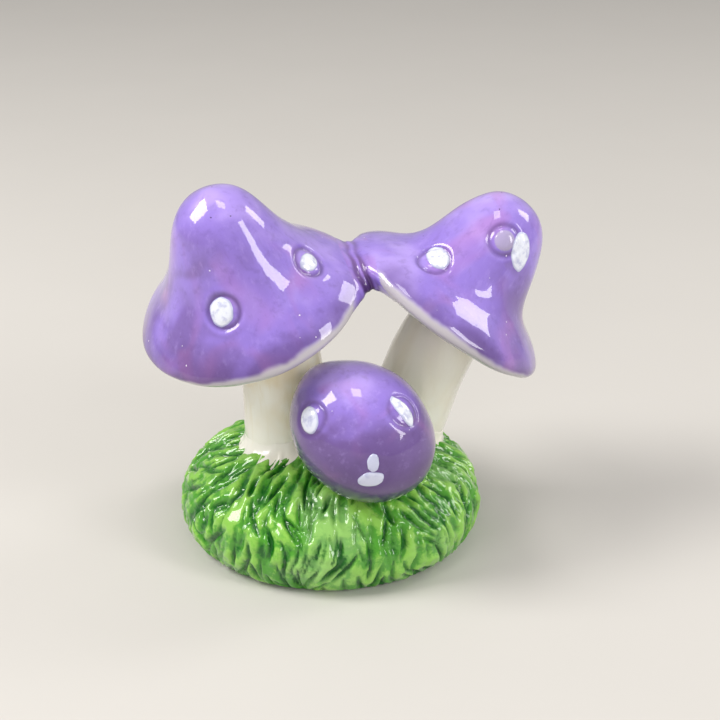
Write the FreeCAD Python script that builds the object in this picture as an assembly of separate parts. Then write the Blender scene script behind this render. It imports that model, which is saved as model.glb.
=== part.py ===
# Ceramic ornament: three mushrooms luted together on a hollow grass mound.
# Millimetres, +Z up. The front faces -Y, and the origin is where the underside's centre rests.
import FreeCAD, Part
import math
import os

V = FreeCAD.Vector
UP = V(0, 0, 1)

# Grass mound: a bun whose widest section is above its tucked-in foot
mound_length = 94.0
mound_depth = 88.0
mound_height = 33.5
mound_belly_height = 11.0
mound_foot_tuck = 6.0
mound_wall = 4.5

# Floor slab let into a rebate in the mound's underside
floor_thickness = 4.0
floor_ledge = 1.8
vent_radius = 2.0
vent_offset = 24.0

# Main grooves between the tufts of grass, each a straight gouge that runs out where the mound curves away
gouge_radius = 2.0
gouge_depth = 1.3
gouge_length = 26.0
gouge_spacing = 8.0
gouge_clearance = 3.0

# Clay and slip
cap_wall = 4.0
stem_wall = 3.5
tenon_reach = 3.0
slip_width = 1.8
slip_height = 1.6

# The weld of clay where the two big caps touch, as an oval lump about a place below the touching point
bridge_length = 15.0
bridge_depth = 20.0
bridge_height = 18.0
bridge_sag = 3.5
bridge_film = 0.02

# Left mushroom: the largest cap, leaning left and towards the front. A cap rises from the mound's crown.
left_cap_radius = 34.0
left_cap_height = 43.0
left_cap_drop = 5.0
left_cap_x = -22.5
left_cap_y = -3.0
left_cap_rise = 42.5
left_cap_lean_left = 16.0
left_cap_lean_forward = 15.5
left_cap_turn = 90.0
left_stem_x = -13.8
left_stem_y = 1.0
left_stem_lean_left = 0.0
left_stem_foot_radius = 12.8
left_stem_neck_radius = 12.0
left_stem_offset = 4.5

# Right mushroom: the same form, leaning right and a little away
right_cap_radius = 34.0
right_cap_height = 41.0
right_cap_drop = 3.0
right_cap_x = 34.6
right_cap_y = 10.0
right_cap_rise = 36.5
right_cap_lean_left = -36.0
right_cap_lean_forward = -6.0
right_cap_turn = 90.0
right_stem_x = 21.0
right_stem_y = 12.5
right_stem_lean_left = -17.0
right_stem_foot_radius = 13.2
right_stem_neck_radius = 12.0
right_stem_offset = 4.5

# Front mushroom: a small oval dome that looks at the viewer
front_cap_radius = 22.8
front_cap_short_radius = 19.4
front_cap_height = 23.0
front_cap_drop = 3.0
front_cap_x = 10.0
front_cap_y = -21.6
front_cap_rise = 10.7
front_cap_lean_forward = 61.0
front_cap_turn = -41.0
front_stem_x = 7.0
front_stem_y = -7.0
front_stem_foot_radius = 6.5
front_stem_neck_radius = 6.0

# Rings of gouges: (share of the way down from the crown to the belly, lean in degrees, swing of the lean)
gouge_ring_shares = ((0.52, 14.0, 22.0), (0.93, -6.0, 16.0))

# Dots: a raised button in a ring groove, under a dab of enamel
ring_radius = 4.6
ring_groove_radius = 0.8
button_radius = 2.9
button_rise = 0.5
dab_thickness = 0.5

# Sections of the caps from the crown down to the parting edge: (height share, radius share)
crown_shares = ((1.0, 0.05),)
left_cap_shares = (
    (0.97, 0.15), (0.90, 0.285), (0.74, 0.415), (0.52, 0.54), (0.30, 0.73), (0.10, 0.965), (0.037, 1.0),
)
right_cap_shares = (
    (0.97, 0.175), (0.90, 0.29), (0.74, 0.41), (0.52, 0.50), (0.30, 0.635), (0.10, 0.965), (0.037, 1.0),
)
front_cap_shares = (
    (0.975, 0.27), (0.88, 0.54), (0.70, 0.78), (0.45, 0.94), (0.25, 0.99), (0.09, 1.0),
)
parting_shares = ((0.0, 0.98),)

# Sections of each underside from the parting edge down to its middle: (drop share, radius share)
underside_shares = ((0.0, 0.98), (0.12, 0.965), (0.60, 0.80), (0.96, 0.30), (1.0, 0.10))

# Each dot: (turn about the cap's axis in degrees, height share), then its dabs of enamel:
# (half width, half length, turn in degrees, shift across, shift up), the lengths in ring radii
left_dot_shares = (
    ((171.0, 0.40), ((0.78, 0.93, -12.0, -0.15, 0.05),)),
    ((-106.0, 0.365), ((0.58, 0.80, 74.0, -0.05, -0.05),)),
    ((50.0, 0.42), ((0.65, 0.80, 10.0, 0.10, 0.10),)),
)
right_dot_shares = (
    ((173.0, 0.73), ((0.58, 1.25, 28.0, 1.35, 0.15),)),
    ((133.0, 0.32), ((0.65, 0.80, 80.0, -0.05, 0.38),)),
    ((-30.0, 0.40), ((0.60, 0.75, -15.0, 0.0, 0.10),)),
)
front_dot_shares = (
    ((-152.0, 0.79), ((0.70, 0.90, -66.0, 0.05, -0.15),)),
    ((67.0, 0.805), ((0.45, 1.13, -84.0, 0.03, 0.07),)),
    ((-36.0, 0.867), ((0.37, 0.60, -9.0, 0.10, 0.70), (0.54, 0.82, -74.0, -0.10, -0.50))),
)

# Turn of the lean's swing from one gouge to the next, in radians
gouge_swing_step = 2.4

# Where the stems' cross-sections lie along their bends, and how far round from a cap's seam theirs is
stem_section_shares = (0.0, 0.2, 0.4, 0.6, 0.8, 1.0)
stem_seam_turn = 90.0


def scaled(shape, x, y, z):
    """The shape stretched about the origin, by one factor for each axis."""
    matrix = FreeCAD.Matrix()
    matrix.scale(x, y, z)
    return shape.transformGeometry(matrix)


def line(start, end):
    """Straight edge between two points."""
    return Part.makeLine(start, end)


def quarter(center, side, pole):
    """Quarter of an ellipse between the ends of its two half axes."""
    if (side - center).Length < (pole - center).Length:
        side, pole = pole, side
    return Part.Ellipse(side, pole, center).toShape(0, math.pi / 2)


def revolved(edges):
    """Solid of revolution about Z, from the edges of a closed outline in the XZ plane."""
    wire = Part.Wire(Part.__sortEdges__(edges))
    solid = Part.Face(wire).revolve(V(0, 0, 0), UP, 360)
    return solid if solid.Volume > 0 else solid.reversed()


def placement(x, y, rise, lean_left, lean_forward, turn):
    """Place of a cap's own frame above the mound's crown: turned, leaned forward, then leaned left."""
    rotation = FreeCAD.Rotation(V(0, 1, 0), -lean_left)
    rotation = rotation.multiply(FreeCAD.Rotation(V(1, 0, 0), lean_forward))
    rotation = rotation.multiply(FreeCAD.Rotation(UP, turn))
    return FreeCAD.Placement(V(x, y, mound_height + rise), rotation)


# Grass mound and its floor

mound_ratio = mound_depth / mound_length
mound_foot_radius = mound_length / 2 - mound_foot_tuck
floor_radius = mound_foot_radius - mound_wall


def mound_solid(grow):
    """The mound filled in, with its skin moved outwards by grow."""
    center = V(0, 0, mound_belly_height)
    top = V(0, 0, mound_height + grow)
    side = V(mound_length / 2 + grow, 0, mound_belly_height)
    foot_center = V(mound_foot_radius, 0, mound_belly_height)
    foot = V(mound_foot_radius, 0, 0)
    edges = [
        quarter(center, side, top),
        quarter(foot_center, side, foot),
        line(foot, V(0, 0, 0)),
        line(V(0, 0, 0), top),
    ]
    return scaled(revolved(edges), 1, mound_ratio, 1)


def mound_cavity():
    """The hollow above the floor slab."""
    center = V(0, 0, mound_belly_height)
    top = V(0, 0, mound_height - mound_wall)
    side = V(mound_length / 2 - mound_wall, 0, mound_belly_height)
    ledge = V(floor_radius - floor_ledge, 0, floor_thickness)
    middle = V(0, 0, floor_thickness)
    edges = [quarter(center, side, top), line(side, ledge), line(ledge, middle), line(middle, top)]
    return scaled(revolved(edges), 1, mound_ratio, 1)


def mound_top(x, y):
    """Height of the mound's skin above a place on the table."""
    reach = (2 * x / mound_length) ** 2 + (2 * y / mound_depth) ** 2
    return mound_belly_height + (mound_height - mound_belly_height) * math.sqrt(1 - reach)


def gouges():
    """Straight rods that cut the main grooves, clear of the stems' feet."""
    rods = []
    rise = mound_height - mound_belly_height
    for ring, (down, lean, swing) in enumerate(gouge_ring_shares):
        around = down * math.pi / 2
        reach = math.sin(around) * mound_length / 2
        count = int(2 * math.pi * reach / gouge_spacing)
        for number in range(count):
            heading = 2 * math.pi * (number + ring / 2) / count
            east = math.cos(heading)
            north = math.sin(heading)
            point = V(reach * east, reach * north * mound_ratio, mound_belly_height + rise * math.cos(around))
            slope = math.cos(around) * mound_length / 2
            fall = V(slope * east, slope * north * mound_ratio, -rise * math.sin(around))
            beside = V(-north, east * mound_ratio, 0)
            outward = fall.cross(beside)
            outward.normalize()
            turn = lean + swing * math.sin(number * gouge_swing_step)
            along = FreeCAD.Rotation(outward, turn).multVec(fall)
            along.normalize()
            top = point - along * gouge_length / 3
            if all(stem.clear_of(point, gouge_clearance) and stem.clear_of(top, 0) for stem in stems.values()):
                start = point + outward * (gouge_radius - gouge_depth) - along * gouge_length / 2
                rods.append(Part.makeCylinder(gouge_radius, gouge_length, start, along))
    return rods


def floor_plate():
    """The floor slab before its vent is drilled."""
    ends = V(floor_radius, 0, 0), V(0, floor_radius * mound_ratio, 0)
    near, far = sorted(ends, key=lambda end: end.Length)
    outline = Part.Ellipse(far, near, V(0, 0, 0))
    return Part.Face(Part.Wire(outline.toShape())).extrude(UP * floor_thickness)


def base_floor():
    """Floor slab with a vent hole beside its middle."""
    vent = Part.makeCylinder(vent_radius, floor_thickness, V(0, vent_offset, 0))
    return floor_plate().cut(vent)


# Caps

class Cap:
    """One mushroom's cap: a bell with round or oval level sections, closed below by an underside."""

    def __init__(self, radius, short_radius, height, drop, shares, place, dots):
        self.radius = radius
        self.ratio = short_radius / radius
        self.height = height
        self.drop = drop
        self.shares = crown_shares + shares + parting_shares
        self.place = place
        self.dots = dots

    def stacked(self, rows):
        """A solid through level ovals, given as (height, radius), brought to the cap's place."""
        ovals = []
        for height, radius in rows:
            oval = Part.Ellipse(V(0, 0, height), radius, radius * self.ratio)
            ovals.append(Part.Wire(oval.toShape()))
        solid = Part.makeLoft(ovals, True, False)
        solid.Placement = self.place
        return solid

    def rows(self, grow):
        """Heights and radii of the bell's sections, from its crown to the parting edge."""
        radius = self.radius + grow
        height = self.height + grow
        return [(height * up, radius * across) for up, across in self.shares]

    def bell(self, grow):
        """The bell filled in, above its parting plane."""
        return self.stacked(self.rows(grow))

    def underside(self, grow):
        """The slab below the parting plane, before the stem's hole is cut."""
        radius = self.radius + grow
        drop = self.drop + grow
        return self.stacked([(-drop * down, radius * across) for down, across in underside_shares])

    def filled(self, grow):
        """Bell and underside in one, with the skin moved outwards by grow."""
        return self.bell(grow).fuse(self.underside(grow))

    def dot_place(self, turn, share):
        """Place on the skin: X runs round the cap, Y up the bell and Z out of it."""
        bell = self.bell(0)
        side = max(bell.Faces, key=lambda face: face.Area)
        level = V(0, 0, self.height * share)
        beyond = level + FreeCAD.Rotation(UP, turn).multVec(V(2 * self.radius, 0, 0))
        inner = self.place.multVec(level)
        reach = Part.makeLine(inner, self.place.multVec(beyond)).common(bell)
        point = max((corner.Point for corner in reach.Vertexes), key=inner.distanceToPoint)
        outward = side.normalAt(*side.Surface.parameter(point))
        around = self.place.Rotation.multVec(UP).cross(outward)
        around.normalize()
        rotation = FreeCAD.Rotation(around, outward.cross(around), outward, "ZXY")
        return FreeCAD.Placement(point, rotation)

    def shell(self):
        """The hollow bell, with a ring groove and a button under each dot."""
        sink = ring_radius ** 2 / (2 * self.radius)
        rings = []
        buttons = []
        for (turn, share), dabs in self.dots:
            place = self.dot_place(turn, share)
            ring = Part.makeTorus(ring_radius, ring_groove_radius)
            ring.Placement = place.multiply(FreeCAD.Placement(V(0, 0, -sink), FreeCAD.Rotation()))
            rings.append(ring)
            button = scaled(Part.makeSphere(button_radius), 1, 1, button_rise / button_radius)
            button.Placement = place
            buttons.append(button)
        return self.bell(0).cut(self.bell(-cap_wall)).cut(rings).fuse(buttons)

    def dabs(self, shell):
        """The dabs of enamel on the shell."""
        pieces = []
        for (turn, share), dabs in self.dots:
            place = self.dot_place(turn, share)
            for wide, long, dab_turn, across, along in dabs:
                dab = Part.makeSphere(ring_radius)
                dab = scaled(dab, wide, long, (button_rise + dab_thickness) / ring_radius)
                shift = V(across * ring_radius, along * ring_radius, 0)
                dab.Placement = place.multiply(FreeCAD.Placement(shift, FreeCAD.Rotation(UP, dab_turn)))
                pieces.append(largest(dab.cut(shell)))
        return pieces


def largest(shape):
    """The biggest solid of a cut shape."""
    return max(shape.Solids, key=lambda solid: solid.Volume)


# Stems

class Stem:
    """A tube from a socket in the mound to the inside of a cap, along one smooth bend."""

    def __init__(self, x, y, lean_left, foot_radius, neck_radius, cap, offset):
        self.foot = V(x, y, mound_top(x, y) - mound_wall - tenon_reach)
        self.foot_run = FreeCAD.Rotation(V(0, 1, 0), -lean_left).multVec(UP)
        self.neck = cap.place.multVec(V(0, -offset, tenon_reach))
        self.neck_run = cap.place.Rotation.multVec(UP)
        self.foot_radius = foot_radius
        self.neck_radius = neck_radius

    def at(self, share):
        """Centre and direction at a share of the bend, from the foot to the neck."""
        length = (self.neck - self.foot).Length
        out = self.foot_run * length
        home = self.neck_run * length
        square = share ** 2
        cube = share ** 3
        point = self.foot * (2 * cube - 3 * square + 1) + self.neck * (3 * square - 2 * cube)
        point += out * (cube - 2 * square + share) + home * (cube - square)
        run = (self.neck - self.foot) * (6 * share - 6 * square)
        run += out * (3 * square - 4 * share + 1) + home * (3 * square - 2 * share)
        return point, run

    def rod(self, grow):
        """The stem filled in, with its skin moved outwards by grow."""
        rings = []
        for share in stem_section_shares:
            point, run = self.at(share)
            radius = self.foot_radius + (self.neck_radius - self.foot_radius) * share + grow
            ring = Part.Wire(Part.makeCircle(radius))
            rotation = FreeCAD.Rotation(UP, run).multiply(FreeCAD.Rotation(UP, stem_seam_turn))
            ring.Placement = FreeCAD.Placement(point, rotation)
            rings.append(ring)
        return Part.makeLoft(rings, True, False)

    def clear_of(self, point, room):
        """Whether a place on the mound is that far from the stem's foot."""
        away = V(point.x - self.foot.x, point.y - self.foot.y, 0)
        return away.Length > self.foot_radius + slip_width + room

    def tube(self):
        """The hollow stem."""
        return self.rod(0).cut(self.rod(-stem_wall))


left = Cap(
    left_cap_radius, left_cap_radius, left_cap_height, left_cap_drop, left_cap_shares,
    placement(left_cap_x, left_cap_y, left_cap_rise, left_cap_lean_left, left_cap_lean_forward, left_cap_turn),
    left_dot_shares,
)
right = Cap(
    right_cap_radius, right_cap_radius, right_cap_height, right_cap_drop, right_cap_shares,
    placement(
        right_cap_x, right_cap_y, right_cap_rise,
        right_cap_lean_left, right_cap_lean_forward, right_cap_turn,
    ),
    right_dot_shares,
)
front = Cap(
    front_cap_radius, front_cap_short_radius, front_cap_height, front_cap_drop, front_cap_shares,
    placement(front_cap_x, front_cap_y, front_cap_rise, 0, front_cap_lean_forward, front_cap_turn),
    front_dot_shares,
)
caps = {"left": left, "right": right, "front": front}
stems = {
    "left": Stem(
        left_stem_x, left_stem_y, left_stem_lean_left,
        left_stem_foot_radius, left_stem_neck_radius, left, left_stem_offset,
    ),
    "right": Stem(
        right_stem_x, right_stem_y, right_stem_lean_left,
        right_stem_foot_radius, right_stem_neck_radius, right, right_stem_offset,
    ),
    "front": Stem(
        front_stem_x, front_stem_y, 0,
        front_stem_foot_radius, front_stem_neck_radius, front, 0,
    ),
}


def cap_bridge():
    """The weld of clay between the two big caps, about the place where they touch, a film away from both."""
    left_filled = left.filled(bridge_film)
    right_filled = right.filled(bridge_film)
    on_left, on_right = left_filled.distToShape(right_filled)[1][0]
    middle = (on_left + on_right) / 2 - UP * bridge_sag
    lump = Part.makeSphere(bridge_height / 2)
    lump = scaled(lump, bridge_length / bridge_height, bridge_depth / bridge_height, 1)
    lump.translate(middle)
    return largest(lump.cut(left_filled).cut(right_filled))


def build():
    """Every piece, by the name of its node."""
    pieces = {}
    mound = mound_solid(0)
    raised_mound = mound_solid(slip_height)
    grass = mound.cut(mound_cavity()).cut(floor_plate()).cut(gouges())
    laid_slips = []
    for side, stem in stems.items():
        cap = caps[side]
        rod = stem.rod(0)
        wide_rod = stem.rod(slip_width)
        underside = cap.underside(0)
        grass = grass.cut(rod)
        pieces[side + "_stem"] = stem.tube()
        pieces[side + "_cap_underside"] = underside.cut(rod)
        foot_slip = wide_rod.common(raised_mound).cut(mound).cut(rod)
        for other in laid_slips:
            foot_slip = foot_slip.cut(other)
        laid_slips.append(foot_slip)
        pieces[side + "_foot_slip"] = largest(foot_slip)
        neck_slip = wide_rod.common(cap.underside(slip_height)).cut(underside).cut(rod)
        pieces[side + "_neck_slip"] = largest(neck_slip)
    pieces["grass_mound"] = grass
    pieces["base_floor"] = base_floor()
    right_filled = right.filled(0)
    for side, cap in caps.items():
        shell = cap.shell()
        if side == "left":
            shell = shell.cut(right_filled)
        pieces[side + "_cap"] = largest(shell)
        pieces[side + "_cap_dots"] = Part.Compound(cap.dabs(shell))
    pieces["cap_bridge"] = cap_bridge()
    return pieces


if __name__ == "__main__":
    os.makedirs("parts", exist_ok=True)
    for node, shape in build().items():
        shape.exportStep("parts/" + node + ".step")
        print(node, len(shape.Solids), round(shape.Volume))
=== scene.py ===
"""Dresses the frame of a glazed mushroom ornament: caps, stems, grass mound and studio."""
import itertools
import math

import bpy
import numpy as np
from mathutils import Matrix, Vector
from mathutils.bvhtree import BVHTree


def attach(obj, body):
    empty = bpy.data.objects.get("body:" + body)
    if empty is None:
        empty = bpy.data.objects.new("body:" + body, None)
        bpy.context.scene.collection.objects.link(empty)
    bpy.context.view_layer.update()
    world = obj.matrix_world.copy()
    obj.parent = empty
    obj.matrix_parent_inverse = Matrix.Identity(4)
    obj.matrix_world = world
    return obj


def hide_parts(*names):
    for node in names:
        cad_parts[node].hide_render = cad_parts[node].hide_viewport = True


bl_info = {
    "name": "Glazed mushroom ornament",
    "version": (1, 0, 0),
    "blender": (4, 5, 0),
    "location": "3D View > Sidebar > Mushrooms",
    "description": "Builds the caps, stems, enamel dots and sculpted grass of a ceramic ornament",
    "category": "Object",
}

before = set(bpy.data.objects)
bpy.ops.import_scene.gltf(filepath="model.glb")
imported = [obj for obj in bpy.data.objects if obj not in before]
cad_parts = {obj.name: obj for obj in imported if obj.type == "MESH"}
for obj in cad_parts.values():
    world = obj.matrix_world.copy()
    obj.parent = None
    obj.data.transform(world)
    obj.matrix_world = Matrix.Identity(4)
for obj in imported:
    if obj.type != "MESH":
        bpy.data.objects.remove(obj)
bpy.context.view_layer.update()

# One millimetre in Blender's metres
MM = 0.001

# Caps: (height share, radius share) down the bell, then (drop share, radius share) under it
CROWN_SHARES = ((0.97, -0.15), (1.0, -0.05), (1.0, 0.05))
LEFT_BELL_SHARES = (
    (0.97, 0.15), (0.90, 0.285), (0.74, 0.415), (0.52, 0.54), (0.30, 0.73), (0.10, 0.965),
    (0.037, 1.0),
)
RIGHT_BELL_SHARES = (
    (0.97, 0.175), (0.90, 0.29), (0.74, 0.41), (0.52, 0.50), (0.30, 0.635), (0.10, 0.965),
    (0.037, 1.0),
)
FRONT_BELL_SHARES = (
    (0.975, 0.27), (0.88, 0.54), (0.70, 0.78), (0.45, 0.94), (0.25, 0.99), (0.09, 1.0),
)
PARTING_SHARE = (0.0, 0.98)
UNDERSIDE_SHARES = ((0.12, 0.965), (0.60, 0.80), (0.96, 0.30), (1.0, 0.0))

# Dots: (turn about the cap's axis in degrees, height share), shares of (groove, button, white wash),
# then the dabs of enamel: (half width, half length, turn in degrees, shift across, shift up), in ring
# radii, and how thin the enamel is, a share that also paints shade on the front cap's lower dabs
LEFT_DOT_SHARES = (
    ((171.0, 0.40), (1.0, 0.7, 0.0), ((0.78, 0.93, -12.0, -0.15, 0.05, 0.1),)),
    ((-106.0, 0.365), (1.0, 0.8, 0.0), ((0.58, 0.80, 74.0, -0.05, -0.05, 0.0),)),
    ((50.0, 0.42), (0.9, 0.8, 0.0), ((0.65, 0.80, 10.0, 0.10, 0.10, 0.0),)),
)
RIGHT_DOT_SHARES = (
    ((173.0, 0.73), (0.8, 1.0, 0.55), ((0.66, 1.25, 28.0, 1.30, 0.10, 0.15),)),
    ((133.0, 0.32), (0.9, 0.8, 0.0), ((0.72, 0.92, 80.0, -0.05, 0.34, 0.0),)),
    ((-30.0, 0.40), (0.9, 0.8, 0.0), ((0.60, 0.75, -15.0, 0.0, 0.10, 0.1),)),
)
FRONT_DOT_SHARES = (
    ((-152.0, 0.79), (0.55, 0.3, 0.0), ((0.70, 0.90, -66.0, 0.05, -0.15, 0.3),)),
    ((67.0, 0.805), (0.45, 0.3, 0.0), ((0.45, 1.13, -84.0, 0.03, 0.07, 0.0),)),
    # The two lowest dabs' large shares paint shade on them as well as thin enamel
    ((-36.0, 0.867), (0.12, 0.0, 0.0), (
        (0.37, 0.60, -9.0, 0.10, 0.70, 0.75), (0.54, 0.82, -74.0, -0.10, -0.50, 0.6),
    )),
)

# How much white slip lies over each whole stem
SLIP_SHARES = {"left": 0.0, "right": 0.75, "front": 0.4}

# How much plum glaze has run down a cap, also painted shade low on it, and the share of its height
# where that starts
RUN_DOWN_SHARES = {"left": (0.50, 0.34), "right": (0.15, 0.40), "front": (1.0, 0.86)}

# A soft corner of the front cap's rim: (heading and half width in degrees, reach in millimetres)
FRONT_CORNER = (167.0, 20.0, 1.3)

# Where the purple gives way to white near a rim: (height above the parting edge and its swing in
# millimetres, heading of the highest place about the cap's axis in degrees)
WHITE_EDGES = {"left": (0.9, 2.3, -132.0), "right": (0.9, 1.5, 150.0), "front": (0.2, 0.7, -100.0)}

# How thin the glaze has run on a cap, with painted top light where it faces up and painted shade
# where it faces down: (share for facing up, share for height, less all over)
THINNESS_SHARES = {
    "left": (0.32, 0.28, -0.15), "right": (0.32, 0.28, -0.13), "front": (0.35, 1.55, 1.05),
}

# Rings of the mound's main gouges: (share of the way down to the belly, lean in degrees, its swing),
# and how far the swing's wave goes on from one gouge to the next, in radians
GOUGE_RING_SHARES = ((0.52, 14.0, 22.0), (0.93, -6.0, 16.0))
GOUGE_SWING_STEP = 2.4

# Stems: place of the foot on the table, lean to the left in degrees, radius at the foot and at the
# neck, and how far the neck stands in front of the cap's axis, in millimetres
STEM_PLACES = {
    "left": (-13.8, 1.0, 0.0, 12.8, 12.0, 4.5),
    "right": (21.0, 12.5, -17.0, 13.2, 12.0, 4.5),
    "front": (7.0, -7.0, 0.0, 6.5, 6.0, 0.0),
}

# How far a foot's slip spreads over the grass at its front, in millimetres
FOOT_SPREADS = {"left": 5.0, "right": 1.8, "front": 1.7}

# Caps: the four lengths of the form and the place of the rim's centre in millimetres, then the angles
# in degrees
CAP_LENGTHS = ("radius", "short_radius", "height", "drop", "x", "y", "z")
CAP_ANGLES = ("lean_left", "lean_forward", "turn")
CAP_SIZES = {
    "ornament_left": (34.0, 34.0, 43.0, 5.0, -22.5, -3.0, 76.0, 16.0, 15.5, 90.0),
    "ornament_right": (34.0, 34.0, 41.0, 3.0, 34.6, 10.0, 70.0, -36.0, -6.0, 90.0),
    "ornament_front": (22.8, 19.4, 23.0, 3.0, 10.0, -21.6, 44.2, 0.0, 61.0, -41.0),
}

# First random seed of the bells' unevenness
BELL_SEED = 11

# The big caps' joint is searched at every second row and column of their points
JOINT_STEP = 2

# Where the rim's stains fade out by the big caps' joint: between these distances from it, and back in
# between these depths under it, in millimetres
JOINT_FADE = (8.0, 17.0)
JOINT_FADE_BELOW = (-4.0, -9.0)

# Channels of a mesh's stain: pooled glaze (also painted shade low on the caps, in the big caps' joint
# and on the front cap's lower dabs), a second mark (a dot's groove, the grass's ridges or the tan of a
# stem's top, there with painted shade and warm reflection), white or milky glaze, and how thin the
# glaze has run, with painted top light
POOLED, MARKED, WHITENED, THINNED = range(4)

# Soft boxes: heading from the front to the right and height in degrees, distance, width and height in
# metres, power in watts, colour
LIGHTS = {
    "window_left": (-82, 45, 1.0, 0.42, 0.52, 9.0, (1.0, 0.98, 0.95)),
    "window_right": (60, 26, 1.0, 0.24, 0.46, 3.4, (1.0, 0.99, 0.97)),
    "window_back": (112, 32, 1.0, 0.26, 0.36, 2.2, (1.0, 0.98, 0.96)),
    "top": (0, 84, 1.1, 0.26, 0.26, 1.45, (1.0, 0.99, 0.97)),
    "front_fill": (4, 22, 1.2, 0.9, 0.6, 3.6, (1.0, 0.98, 0.95)),
}
UNSEEN_LIGHT = "front_fill"
LIGHT_TARGET = (0.0, 0.0, 0.06)
WORLD_COLOUR = (0.80, 0.78, 0.76)
WORLD_STRENGTH = 0.50
FLOOR_REACH = 3.0
SENSOR_WIDTH = 36.0
CLIP_START = 0.01

# Smaller than any length that counts, in millimetres, and smaller than any face that has a normal
TINY = 1e-9
FLAT = 1e-12

# How many times finer a curve is worked out than it is handed on
FINER = 4

# Random ripples: how many waves each sums up, and how their lengths spread
RIPPLE_WAVES = 14
RIPPLE_SPREAD = (0.6, 1.4)

# What the operators of one run share
workshop = {}


# Curves, grids and meshes

def smooth_curve(knots, count):
    """Points spaced evenly along a smooth curve through the knots, from a natural cubic spline."""
    knots = np.asarray(knots, float)
    run = run_length(knots)
    gap = np.diff(run)
    size = len(knots)
    system = np.eye(size)
    goal = np.zeros_like(knots)
    for i in range(1, size - 1):
        system[i, i - 1:i + 2] = gap[i - 1], 2 * (gap[i - 1] + gap[i]), gap[i]
        goal[i] = 6 * ((knots[i + 1] - knots[i]) / gap[i] - (knots[i] - knots[i - 1]) / gap[i - 1])
    bend = np.linalg.solve(system, goal)
    at = np.linspace(0, run[-1], FINER * count)
    i = np.clip(np.searchsorted(run, at) - 1, 0, size - 2)
    a = ((run[i + 1] - at) / gap[i])[:, None]
    b = 1 - a
    step = (gap[i] ** 2 / 6)[:, None]
    points = a * knots[i] + b * knots[i + 1]
    points += ((a ** 3 - a) * bend[i] + (b ** 3 - b) * bend[i + 1]) * step
    return evenly(points, count)


def run_length(points):
    """Length run along a line of points, at each of them."""
    steps = np.linalg.norm(np.diff(points, axis=0), axis=1)
    return np.concatenate(([0.0], np.cumsum(steps)))


def evenly(points, count):
    """The line of points, spaced evenly."""
    run = run_length(points)
    at = np.linspace(0, run[-1], count)
    return np.stack([np.interp(at, run, column) for column in points.T], axis=1)


def turns(count):
    """Angles all the way round, spaced evenly."""
    return np.linspace(0, 2 * math.pi, count, endpoint=False)


def circle(count):
    """Points spaced evenly round a circle of radius one."""
    around = turns(count)
    return np.stack((np.cos(around), np.sin(around)), axis=-1)


def revolved(line, ratio, columns):
    """Grid of a line (across, up) turned about the Z axis, with Y squeezed by the ratio."""
    across, around = line[:, :1], turns(columns)
    east, north = across * np.cos(around), across * np.sin(around) * ratio
    return np.stack([east, north, np.repeat(line[:, 1:], columns, axis=1)], axis=-1)


def soft_step(low, high, value):
    """Smooth rise from nought at low to one at high."""
    share = np.clip((value - low) / (high - low), 0, 1)
    return share * share * (3 - 2 * share)


def ripple(points, length, seed):
    """Smooth random height, about one at its peaks, whose waves are about that long."""
    random = np.random.default_rng(seed)
    runs = random.normal(size=(RIPPLE_WAVES, points.shape[-1]))
    runs /= np.linalg.norm(runs, axis=1, keepdims=True)
    runs *= (2 * math.pi / length) * random.uniform(*RIPPLE_SPREAD, size=(RIPPLE_WAVES, 1))
    shifts = random.uniform(0, 2 * math.pi, RIPPLE_WAVES)
    total = np.zeros(points.shape[:-1])
    for run, shift in zip(runs, shifts):
        total += np.sin(points @ run + shift)
    return total / math.sqrt(2 * RIPPLE_WAVES)


def ripples(points, seed, waves):
    """A sum of ripples, each (length, height), with seeds one after another."""
    return sum(
        ripple(points, length, seed + step) * height for step, (length, height) in enumerate(waves)
    )


def unit(vector):
    """The vector at length one."""
    return vector / np.linalg.norm(vector)


def normals(grid):
    """Unit normals of a grid (rows, columns, 3) that is closed round its columns."""
    across = np.roll(grid, -1, axis=1) - np.roll(grid, 1, axis=1)
    along = np.gradient(grid, axis=0)
    outward = np.cross(along, across)
    length = np.linalg.norm(outward, axis=2, keepdims=True)
    flat = length[:, :, 0] < FLAT
    outward = outward / np.maximum(length, FLAT)
    for end, beside in ((0, 1), (-1, -2)):
        if flat[end].any():
            outward[end] = unit(outward[beside].mean(axis=0))
    return outward


def skin_faces(rows, cols, poles):
    """Faces of a closed grid. With poles, its end rows are single points; without, they join."""
    number = np.arange(rows * cols).reshape(rows, cols)
    if poles:
        number = number[:rows - 2] + 1
        last = (rows - 2) * cols + 1
    beside = np.roll(number, -1, axis=1)
    if poles:
        quads = np.stack([number[:-1], number[1:], beside[1:], beside[:-1]], axis=-1).reshape(-1, 4)
        faces = quads.tolist()
        faces += [(0, a, b) for a, b in zip(number[0].tolist(), beside[0].tolist())]
        faces += [(last, b, a) for a, b in zip(number[-1].tolist(), beside[-1].tolist())]
        return faces
    under = np.roll(number, -1, axis=0)
    under_beside = np.roll(beside, -1, axis=0)
    return np.stack([number, under, under_beside, beside], axis=-1).reshape(-1, 4).tolist()


def skin_points(grid, poles):
    """The grid's points in one list, with a pole's row as one point."""
    if not poles:
        return grid.reshape(-1, grid.shape[-1])
    body = grid[1:-1].reshape(-1, grid.shape[-1])
    return np.concatenate((grid[:1].mean(axis=1), body, grid[-1:].mean(axis=1)))


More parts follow.
